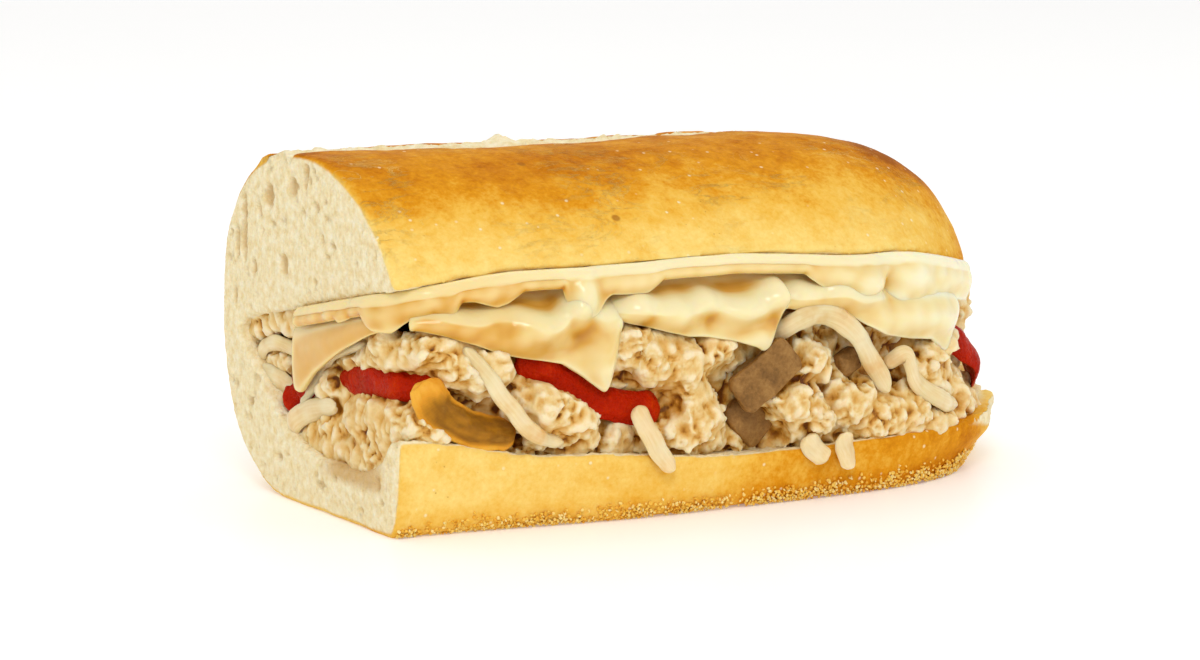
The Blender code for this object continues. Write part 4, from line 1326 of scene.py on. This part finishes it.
def crumbly_lumps(lumps, knob, rng):
    """Lumps of chopped chicken: balls with chunks and small knobs on them. Returns points and triangles."""
    large = np.array(lumps)
    parts = [blobs(large[:, :3], large[:, 3:].min(1, keepdims=True) * LARGE_BALL, 3, rng)]
    for share, spacing, low, high, detail in LAYERS:
        size = knob * share
        centres, halves = [], []
        for lump in lumps:
            centre, half = np.array(lump[:3]), np.array(lump[3:])
            a, b, c = half**1.6
            area = 4.0 * math.pi * ((a * b + a * c + b * c) / 3.0) ** (1.0 / 1.6)
            count = int(area / (size * size * spacing))
            centres.append(centre + half * around(count, rng) * rng.uniform(low, high, (count, 1)))
            stretch = rng.uniform(0.45, 1.65, (count, 3))
            halves.append(size * stretch * rng.uniform(0.55, 1.25, (count, 1)))
        parts.append(blobs(np.concatenate(centres), np.concatenate(halves), detail, rng))
    points, faces, total = [], [], 0
    for some_points, some_faces in parts:
        points.append(some_points)
        faces.append(some_faces + total)
        total += len(some_points)
    return np.concatenate(points), np.concatenate(faces)


def behind_cheese(points):
    """Pushes points that would come through the hanging cheese back behind it."""
    length, out = rim_place(points[:, :2])
    hems = [lip(hem) for hem in SLICE_HEMS.values()]
    low = np.full(len(points), 99.0)
    for hem in hems:
        inside = (length > hem[0][0] + 1.0) & (length < hem[-1][0] - 1.0)
        low = np.where(inside, np.minimum(low, ramp(length, hem)), low)
    cut_hem = CUT_HEM[:1] + CUT_HEM[2:]
    low = np.where((length > 9.0) & (length < 43.0), np.minimum(low, ramp(length, cut_hem)), low)
    limit = np.where(length < RIM_FRONT, -2.4, -1.2)
    over = np.maximum(0.0, out - limit) * smooth(-1.0, 1.5, points[:, 2] - bed(points[:, 0]) - low)
    _, way = rim_at(length)
    moved = points.copy()
    moved[:, :2] -= way * over[:, None]
    return moved


def behind_strips(points):
    """Pushes points that would cover the peppers, onion and mushroom back behind them."""
    moved = points.copy()
    for path, width, facing in [strip for group in STRIPS for strip in group.values()]:
        curve = catmull([(x, y, z + bed(x)) for x, y, z in path], 8)
        aim = np.array(facing) / np.linalg.norm(facing)
        inside = (moved > curve.min(0) - width) & (moved < curve.max(0) + width)
        near = np.flatnonzero(inside.all(1))
        offset = moved[near][:, None, :] - curve[None]
        out = offset @ aim
        aside = np.linalg.norm(offset - out[..., None] * aim, axis=2)
        pick = aside.argmin(1)
        rows = np.arange(len(near))
        cover = 1.0 - smooth(width * 0.34, width * 0.34 + 1.8, aside[rows, pick])
        push = np.clip(out[rows, pick] + 1.6, 0.0, 7.0) * cover
        moved[near] -= aim * push[:, None]
    return moved


def behind_cut(x):
    """Squeezes what would stand out of the cut end back behind it, without making it flat."""
    start = CUT_X + 5.0
    return np.where(x < start, CUT_X + 1.0 + 4.0 * np.exp((x - CUT_X - 5.0) / 4.0), x)


def core_ring(x):
    """One section of the chicken's core, which fills the mouth behind the lumps."""
    front, tip = float(side_y(x)[0]), float(hinge_y(x))
    width = tip - front
    inset = float(along(x, [(CUT_X, 14.0), (50.0, 14.0), (85.0, 12.0)]))
    floor = FLOOR_Z + float(bed(x)) + 0.8
    outline = [
        (front + inset, floor + 3.0),
        (front + inset - 1.0, float(bed(x)) + 24.0),
        (front + inset, float(upper_lip_z(x)) - 17.5),
        (front + width * 0.35, float(roof_z(x, front + width * 0.35)) - 11.0),
        (front + width * 0.62, float(roof_z(x, front + width * 0.62)) - 4.5),
        (tip - width * 0.12, float(roof_z(x, tip - width * 0.12)) - 1.2),
        (tip - width * 0.05, float(roof_z(x, tip)) - 4.6),
        (tip - width * 0.13, float(roof_z(x, tip)) - 9.0),
        (tip - width * 0.26, floor + 9.6),
        (tip - width * 0.39, floor + 3.0),
        (tip - width * 0.5, floor),
        (front + width * 0.26, floor),
    ]
    return np.array([(x, y, z) for y, z in outline])


def inner_lumps(rng):
    """Rows of lumps behind the visible ones, so that no gap shows between them."""
    fill = []
    length = 12.0
    while length < RIM_LENGTH[-1]:
        at, out = rim_at(np.array([length]))
        for level, back in INNER_ROWS:
            spot = at[0] - out[0] * (back + rng.uniform(-1.0, 1.0))
            size = rng.uniform(4.5, 6.5)
            fill.append((spot[0], spot[1], level + rng.uniform(-2.0, 2.0), size, size, size * 0.8))
        length += 6.5
    return fill


def make_chicken(settings):
    look = chicken_look()
    rng = np.random.default_rng(5)
    rings = [core_ring(x) for x in np.linspace(CUT_X + 8.0, END_X - 32.0, 12)]
    core = link("chicken_core", tube_mesh("chicken_core", rings))
    # The core is painted in the darkest shade, for the shade behind the lumps.
    attribute(core.data, "hollow", np.full(len(core.data.vertices), 1.0))
    finish_piece(core, look, "chopped_chicken", "chicken")
    all_lumps = [(x, y, z + bed(x), *half) for x, y, z, *half in LUMPS + END_CRUMBS + inner_lumps(rng)]
    for side, (low, high) in HEAPS.items():
        lumps = [lump for lump in all_lumps if low <= lump[0] < high]
        points, faces = crumbly_lumps(lumps, settings.crumble_size / MM, rng)
        points = behind_cheese(behind_strips(points))
        points[:, 0] = behind_cut(points[:, 0])
        heap = link("chicken_" + side, triangle_mesh("chicken_" + side, points, faces))
        remesh(heap, settings.chicken_grain)
        mesh = heap.data
        points = relax(coordinates(mesh), edge_pairs(mesh), 1)
        move_to(mesh, points)
        rugged = np.clip(0.65 + field(points, 7.0, 10) * 1.1, 0.15, 1.3)
        knobs = np.abs(field(points, 3.1, 7)) * 1.5 + np.abs(field(points, 1.4, 8)) * 0.7 - 0.5
        lift = field(points, 5.0, 9) * 0.8 + knobs * rugged
        points = points + normals(mesh) * lift[:, None]
        points[:, 2] = np.maximum(points[:, 2], 0.4)
        points[:, 0] = np.maximum(points[:, 0], CUT_X + 0.4)
        move_to(mesh, points)
        # Painted shade: darker in crevices and deep behind the lip, away from the cut end; paler on knobs.
        _, out = rim_place(points[:, :2])
        deep = 0.7 * (1.0 - smooth(-9.0, -3.0, out)) * smooth(4.0, 12.0, points[:, 0] - CUT_X)
        attribute(mesh, "hollow", np.clip(deep - standing(mesh, points, 26), -1.0, 1.2))
        finish_piece(heap, look, "chopped_chicken", "chicken")


# Peppers, onion and mushroom.


def ribbon(name, path, width, thick, facing, cup, tip, wobble, seed, square):
    """A bent strip with rounded edges, swept along a path, with its wide face turned to a direction."""
    steps = max(6, 48 // (len(path) - 1))
    curve = catmull([(x, y, z + bed(x)) for x, y, z in path], steps)
    aim = np.array(facing, float)
    aim /= np.linalg.norm(aim)
    angles = np.linspace(0.0, 2.0 * math.pi, 20, endpoint=False)
    blunt = 0.55 if square > 4.0 else 0.15
    rings = []
    for i, point in enumerate(curve):
        t = i / (len(curve) - 1)
        run = curve[min(i + 1, len(curve) - 1)] - curve[max(i - 1, 0)]
        run /= np.linalg.norm(run)
        side = np.cross(run, aim)
        side /= np.linalg.norm(side)
        out = np.cross(side, run)
        reach = width / 2.0 * (tip + (1.0 - tip) * math.sin(math.pi * min(1.0, 0.12 + 0.76 * t)) ** 0.6)
        close = 0.25
        if 0.0 < t < 1.0:
            close = math.sin(math.pi * min(1.0, min(t, 1.0 - t) * 3.0 * len(path)) / 2.0) ** 0.5
        reach *= blunt + (1.0 - blunt) * close
        half = thick / 2.0 * (0.35 + 0.65 * close)
        sway = noise.noise(Vector((t * 1.1 * len(path), seed + 0.5, 0.5))) * wobble
        twist = noise.noise(Vector((t * 0.9 * len(path), seed + 5.5, 0.5))) * wobble * 0.25
        across = reach * power(np.cos(angles), 2.0 / square)
        deep = half * power(np.sin(angles), 2.0 / square)
        bend = -cup * (across / max(reach, 0.1)) ** 2
        turned_side = side * math.cos(twist) + out * math.sin(twist)
        turned_out = out * math.cos(twist) - side * math.sin(twist)
        rings.append(point + out * sway + across[:, None] * turned_side + (deep + bend)[:, None] * turned_out)
    mesh = tube_mesh(name, rings)
    hubs = len(mesh.vertices) - len(rings) * len(angles)
    attribute(mesh, "across", np.concatenate([np.tile(np.cos(angles), len(rings)), np.zeros(max(0, hubs))]))
    strip = link(name, mesh)
    soft = strip.modifiers.new("rounding", "SUBSURF")
    soft.levels = 1
    soft.render_levels = 1
    return strip, curve


def finish_strip(strip, curve, look, slot, node, rough, seed):
    """Makes a strip uneven and stores how far along it each point is and where its edges are."""
    bake_modifiers(strip)
    mesh = strip.data
    points = coordinates(mesh)
    lift = field(points, 6.5, seed) * rough + field(points, 1.8, seed + 1) * rough * 0.25
    nearest = np.argmin(((points[:, None, :] - curve[None, :, :]) ** 2).sum(2), axis=1)
    move_to(mesh, points + normals(mesh) * lift[:, None])
    attribute(mesh, "run", nearest / (len(curve) - 1))
    attribute(mesh, "edge", np.clip(standing(mesh, points, 6) * 3.0, 0.0, 1.0))
    finish_piece(strip, look, slot, node)


def make_strips(group, look, slot, thick, cup, tip, wobble, rough, seed, square=3.0):
    for index, (node, (path, width, facing)) in enumerate(group.items()):
        own_seed = seed + index
        strip, curve = ribbon(node + "_strip", path, width, thick, facing, cup, tip, wobble, own_seed, square)
        finish_strip(strip, curve, look, slot, node, rough, own_seed)


# Cornmeal along the foot of the roll.


def grain_tree():
    """Geometry Nodes that scatter small uneven grains over a surface."""
    tree = bpy.data.node_groups.new("scattered_grains", "GeometryNodeTree")
    tree.is_modifier = True
    sockets = tree.interface
    sockets.new_socket("Geometry", in_out="INPUT", socket_type="NodeSocketGeometry")
    for name, kind, value in (
        ("Density", "NodeSocketFloat", 1.0),
        ("Grain Size", "NodeSocketFloat", 0.001),
        ("Seed", "NodeSocketInt", 3),
        ("Material", "NodeSocketMaterial", None),
    ):
        made = sockets.new_socket(name, in_out="INPUT", socket_type=kind)
        if value is not None:
            made.default_value = value
    sockets.new_socket("Geometry", in_out="OUTPUT", socket_type="NodeSocketGeometry")

    def add(kind, settings=None, **inputs):
        made = tree.nodes.new(kind)
        for key, value in (settings or {}).items():
            setattr(made, key, value)
        for key, value in inputs.items():
            socket = made.inputs[key.replace("_", " ")]
            if isinstance(value, bpy.types.NodeSocket):
                tree.links.new(value, socket)
            else:
                socket.default_value = value
        return made

    given = tree.nodes.new("NodeGroupInput")
    crowd = add("GeometryNodeInputNamedAttribute", {"data_type": "FLOAT"}, Name="crowd")
    density = add("ShaderNodeMath", {"operation": "MULTIPLY"})
    tree.links.new(crowd.outputs["Attribute"], density.inputs[0])
    tree.links.new(given.outputs["Density"], density.inputs[1])
    spread = add(
        "GeometryNodeDistributePointsOnFaces", {"distribute_method": "RANDOM"},
        Mesh=given.outputs["Geometry"], Density=density.outputs[0], Seed=given.outputs["Seed"],
    )
    grain = add("GeometryNodeMeshIcoSphere", Radius=given.outputs["Grain Size"], Subdivisions=1)
    size = add("FunctionNodeRandomValue", {"data_type": "FLOAT_VECTOR"}, Seed=5)
    size.inputs[0].default_value = (0.45, 0.45, 0.35)
    size.inputs[1].default_value = (1.15, 1.15, 0.9)
    turn = add("FunctionNodeRandomValue", {"data_type": "FLOAT_VECTOR"}, Seed=9)
    turn.inputs[1].default_value = (6.28, 6.28, 6.28)
    placed = add(
        "GeometryNodeInstanceOnPoints", Points=spread.outputs["Points"], Instance=grain.outputs["Mesh"],
        Rotation=turn.outputs[0], Scale=size.outputs[0],
    )
    tone = add("FunctionNodeRandomValue", {"data_type": "FLOAT"}, Seed=12)
    stored = add("GeometryNodeStoreNamedAttribute", {"data_type": "FLOAT", "domain": "INSTANCE"})
    stored.inputs["Name"].default_value = "grain_tone"
    tree.links.new(placed.outputs["Instances"], stored.inputs["Geometry"])
    tree.links.new(tone.outputs[1], stored.inputs["Value"])
    real = add("GeometryNodeRealizeInstances", Geometry=stored.outputs["Geometry"])
    look = given.outputs["Material"]
    dressed = add("GeometryNodeSetMaterial", Geometry=real.outputs["Geometry"], Material=look)
    result = tree.nodes.new("NodeGroupOutput")
    tree.links.new(dressed.outputs["Geometry"], result.inputs["Geometry"])
    return tree


def set_inputs(modifier, **values):
    """Sets a Geometry Nodes modifier's inputs by their sockets' identifiers."""
    for item in modifier.node_group.interface.items_tree:
        key = item.name.replace(" ", "_")
        if item.in_out == "INPUT" and key in values:
            modifier[item.identifier] = values[key]


def make_cornmeal(settings):
    look = cornmeal_look()
    stations = np.linspace(CUT_X + 0.5, END_X - 1.0, 160)
    rows = []
    levels = np.linspace(0.3, 7.0, 12)
    for z in levels:
        row = []
        for x in stations:
            ring = ring_points(float(x), 400)
            front = ring[ring[:, 1] < np.mean(side_y(x))]
            k = int(np.argmin(np.abs(front[:, 2] - z)))
            row.append(front[k] + np.array([0.0, -0.25, 0.0]))
        rows.append(row)
    points = np.array(rows)
    points[:, :, 2] = levels[:, None]
    flat = points.reshape(-1, 3)
    strip = link("cornmeal", mesh_from("cornmeal", place(flat), grid_faces(len(levels), len(stations))))
    top = 2.6 + 1.0 * field(flat * (1.0, 1.0, 0.0), 9.0, 12) + 0.8 * smooth(-20.0, 70.0, flat[:, 0])
    clusters = 0.55 + 0.9 * np.clip(field(flat, 3.4, 13), -0.5, 1.0)
    crowd = (1.0 - smooth(top - 1.2, top + 2.6, flat[:, 2])) * clusters
    attribute(strip.data, "crowd", np.clip(crowd, 0.0, 1.0))
    grains = strip.modifiers.new("grains", "NODES")
    grains.node_group = grain_tree()
    density, size = settings.cornmeal_density, settings.cornmeal_size
    set_inputs(grains, Density=density, Grain_Size=size, Seed=4, Material=look)
    bake_modifiers(strip)
    mesh = strip.data
    mesh.materials.clear()
    mesh.materials.append(look)
    points = coordinates(mesh)
    points[:, 2] = np.maximum(points[:, 2], 0.0)
    move_to(mesh, points)
    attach(strip, "root")


# The stage.

CAMERA_AZIMUTH = -31.5
CAMERA_ELEVATION = 9.3
CAMERA_SPOT = (-551.9, -880.9, 205.45)
CAMERA_ROLL = 0.011
FOCAL_PIXELS = 4300.0
PHOTO_WIDTH = 1200.0
FLOOR_REACH = 6.0

# Each light's place, size, power against the key light's, and colour. All face one point of the sandwich.
LIGHTS = {
    "key": ((-0.55, -0.85, 0.95), (0.4, 0.4), 1.0, (1.0, 0.97, 0.92)),
    "fill": ((0.9, -0.9, 0.5), (0.9, 0.7), 0.3, (1.0, 1.0, 1.0)),
    "top": ((0.1, 0.5, 1.1), (0.9, 0.6), 0.3, (1.0, 1.0, 1.0)),
}
LIT_POINT = Vector((0.0, 0.0, 0.04))


def area_light(name, spot, size, power_watts, colour):
    light = bpy.data.lights.new(name, "AREA")
    light.shape = "RECTANGLE"
    light.size, light.size_y = size
    light.energy = power_watts
    light.color = colour
    obj = bpy.data.objects.new(name, light)
    bpy.context.scene.collection.objects.link(obj)
    obj.location = spot
    obj.rotation_euler = (LIT_POINT - Vector(spot)).to_track_quat("-Z", "Y").to_euler()


def make_stage(settings):
    low, high = -FLOOR_REACH, FLOOR_REACH
    corners = [(low, low, 0.0), (high, low, 0.0), (high, high, 0.0), (low, high, 0.0)]
    floor = link("floor", mesh_from("floor", corners, [(0, 1, 2, 3)]), floor_look(), False)
    camera = bpy.data.cameras.new("camera")
    camera.sensor_width = 36.0
    camera.lens = FOCAL_PIXELS / PHOTO_WIDTH * camera.sensor_width
    camera.clip_end = 20.0
    eye = bpy.data.objects.new("camera", camera)
    bpy.context.scene.collection.objects.link(eye)
    azimuth, elevation = math.radians(CAMERA_AZIMUTH), math.radians(CAMERA_ELEVATION)
    level = math.cos(elevation)
    back = Vector((math.sin(azimuth) * level, -math.cos(azimuth) * level, math.sin(elevation)))
    eye.location = Vector(place(CAMERA_SPOT))
    eye.rotation_euler = (back.to_track_quat("Z", "Y") @ Quaternion((0.0, 0.0, 1.0), CAMERA_ROLL)).to_euler()
    bpy.context.scene.camera = eye
    world = bpy.data.worlds.new("studio")
    world.use_nodes = True
    surround = world.node_tree.nodes["Background"].inputs
    surround["Color"].default_value = (1.0, 1.0, 1.0, 1.0)
    surround["Strength"].default_value = settings.world_strength
    bpy.context.scene.world = world
    for name, (spot, size, share, colour) in LIGHTS.items():
        area_light(name, spot, size, settings.key_power * share, colour)
    bpy.context.scene.view_settings.view_transform = "Standard"


# The add-on.


class SandwichBread(bpy.types.PropertyGroup):
    bread_grain: bpy.props.FloatProperty(
        name="Bread grain", description="Size of the bread's mesh faces, in millimetres", default=1.1, min=0.6
    )
    cornmeal_density: bpy.props.FloatProperty(
        name="Cornmeal density", description="Grains for each square metre", default=3.4e6, min=0.0
    )
    cornmeal_size: bpy.props.FloatProperty(
        name="Cornmeal grain", description="Half the width of a grain", default=0.0005, unit="LENGTH"
    )


class SandwichFilling(bpy.types.PropertyGroup):
    cheese_thickness: bpy.props.FloatProperty(
        name="Cheese thickness", description="Thickness of the melted cheese", default=0.0024, unit="LENGTH"
    )
    crumble_size: bpy.props.FloatProperty(
        name="Crumble size", description="Half the width of a knob of chicken", default=0.0013, unit="LENGTH"
    )
    chicken_grain: bpy.props.FloatProperty(
        name="Chicken grain", description="Size of the chicken's mesh faces, in millimetres",
        default=0.6, min=0.3,
    )


class SandwichStage(bpy.types.PropertyGroup):
    world_strength: bpy.props.FloatProperty(
        name="Surround", description="Brightness of the white surround", default=0.78, min=0.0
    )
    key_power: bpy.props.FloatProperty(
        name="Key light", description="Power of the main soft light", default=4.8, min=0.0, subtype="POWER"
    )


class SANDWICH_OT_bread(bpy.types.Operator):
    """Makes the hinged roll with its crust, score, crumb and mouth"""

    bl_idname = "sandwich.bread"
    bl_label = "Bread"

    def execute(self, context):
        make_bread(context.scene.sandwich_bread)
        return {"FINISHED"}


class SANDWICH_OT_cornmeal(bpy.types.Operator):
    """Scatters cornmeal along the foot of the roll"""

    bl_idname = "sandwich.cornmeal"
    bl_label = "Cornmeal"

    def execute(self, context):
        make_cornmeal(context.scene.sandwich_bread)
        return {"FINISHED"}


class SANDWICH_OT_cheese(bpy.types.Operator):
    """Drapes the melted layer and the slices of cheese over the lip"""

    bl_idname = "sandwich.cheese"
    bl_label = "Cheese"

    def execute(self, context):
        make_cheese(context.scene.sandwich_filling)
        return {"FINISHED"}


class SANDWICH_OT_chicken(bpy.types.Operator):
    """Heaps the chopped chicken in the mouth of the roll"""

    bl_idname = "sandwich.chicken"
    bl_label = "Chicken"

    def execute(self, context):
        make_chicken(context.scene.sandwich_filling)
        return {"FINISHED"}


class SANDWICH_OT_vegetables(bpy.types.Operator):
    """Lays the strips of pepper, onion and mushroom among the chicken"""

    bl_idname = "sandwich.vegetables"
    bl_label = "Peppers, onion and mushroom"

    def execute(self, context):
        make_strips(RED_PEPPERS, red_pepper_look(), "red_pepper", 2.0, 1.2, 0.7, 1.8, 0.6, 61)
        make_strips(GREEN_PEPPERS, green_pepper_look(), "green_pepper", 2.0, 1.8, 0.7, 1.2, 0.9, 71)
        make_strips(ONIONS, onion_look(), "cooked_onion", 1.2, 0.7, 0.5, 1.5, 0.35, 81, 2.6)
        make_strips(MUSHROOMS, mushroom_look(), "cooked_mushroom", 3.4, 0.0, 0.92, 0.3, 0.4, 91, 5.0)
        return {"FINISHED"}


class SANDWICH_OT_stage(bpy.types.Operator):
    """Sets up the pale floor, the soft lights and the camera"""

    bl_idname = "sandwich.stage"
    bl_label = "Stage"

    def execute(self, context):
        make_stage(context.scene.sandwich_stage)
        return {"FINISHED"}


OPERATORS = (
    SANDWICH_OT_bread,
    SANDWICH_OT_cornmeal,
    SANDWICH_OT_cheese,
    SANDWICH_OT_chicken,
    SANDWICH_OT_vegetables,
    SANDWICH_OT_stage,
)
SETTINGS = {
    "sandwich_bread": SandwichBread,
    "sandwich_filling": SandwichFilling,
    "sandwich_stage": SandwichStage,
}


class SANDWICH_PT_panel(bpy.types.Panel):
    """Lists the pieces of the sandwich and their settings"""

    bl_idname = "SANDWICH_PT_panel"
    bl_label = "Submarine Sandwich"
    bl_space_type = "VIEW_3D"
    bl_region_type = "UI"
    bl_category = "Sandwich"

    def draw(self, context):
        for name, group in SETTINGS.items():
            for key in group.__annotations__:
                self.layout.prop(getattr(context.scene, name), key)
        for operator in OPERATORS:
            self.layout.operator(operator.bl_idname)


def register():
    for name, group in SETTINGS.items():
        bpy.utils.register_class(group)
        setattr(bpy.types.Scene, name, bpy.props.PointerProperty(type=group))
    for operator in OPERATORS:
        bpy.utils.register_class(operator)
    bpy.utils.register_class(SANDWICH_PT_panel)


def unregister():
    bpy.utils.unregister_class(SANDWICH_PT_panel)
    for operator in reversed(OPERATORS):
        bpy.utils.unregister_class(operator)
    for name, group in SETTINGS.items():
        delattr(bpy.types.Scene, name)
        bpy.utils.unregister_class(group)


def main():
    register()
    for operator in OPERATORS:
        group, name = operator.bl_idname.split(".")
        getattr(getattr(bpy.ops, group), name)()


if __name__ == "__main__":
    main()
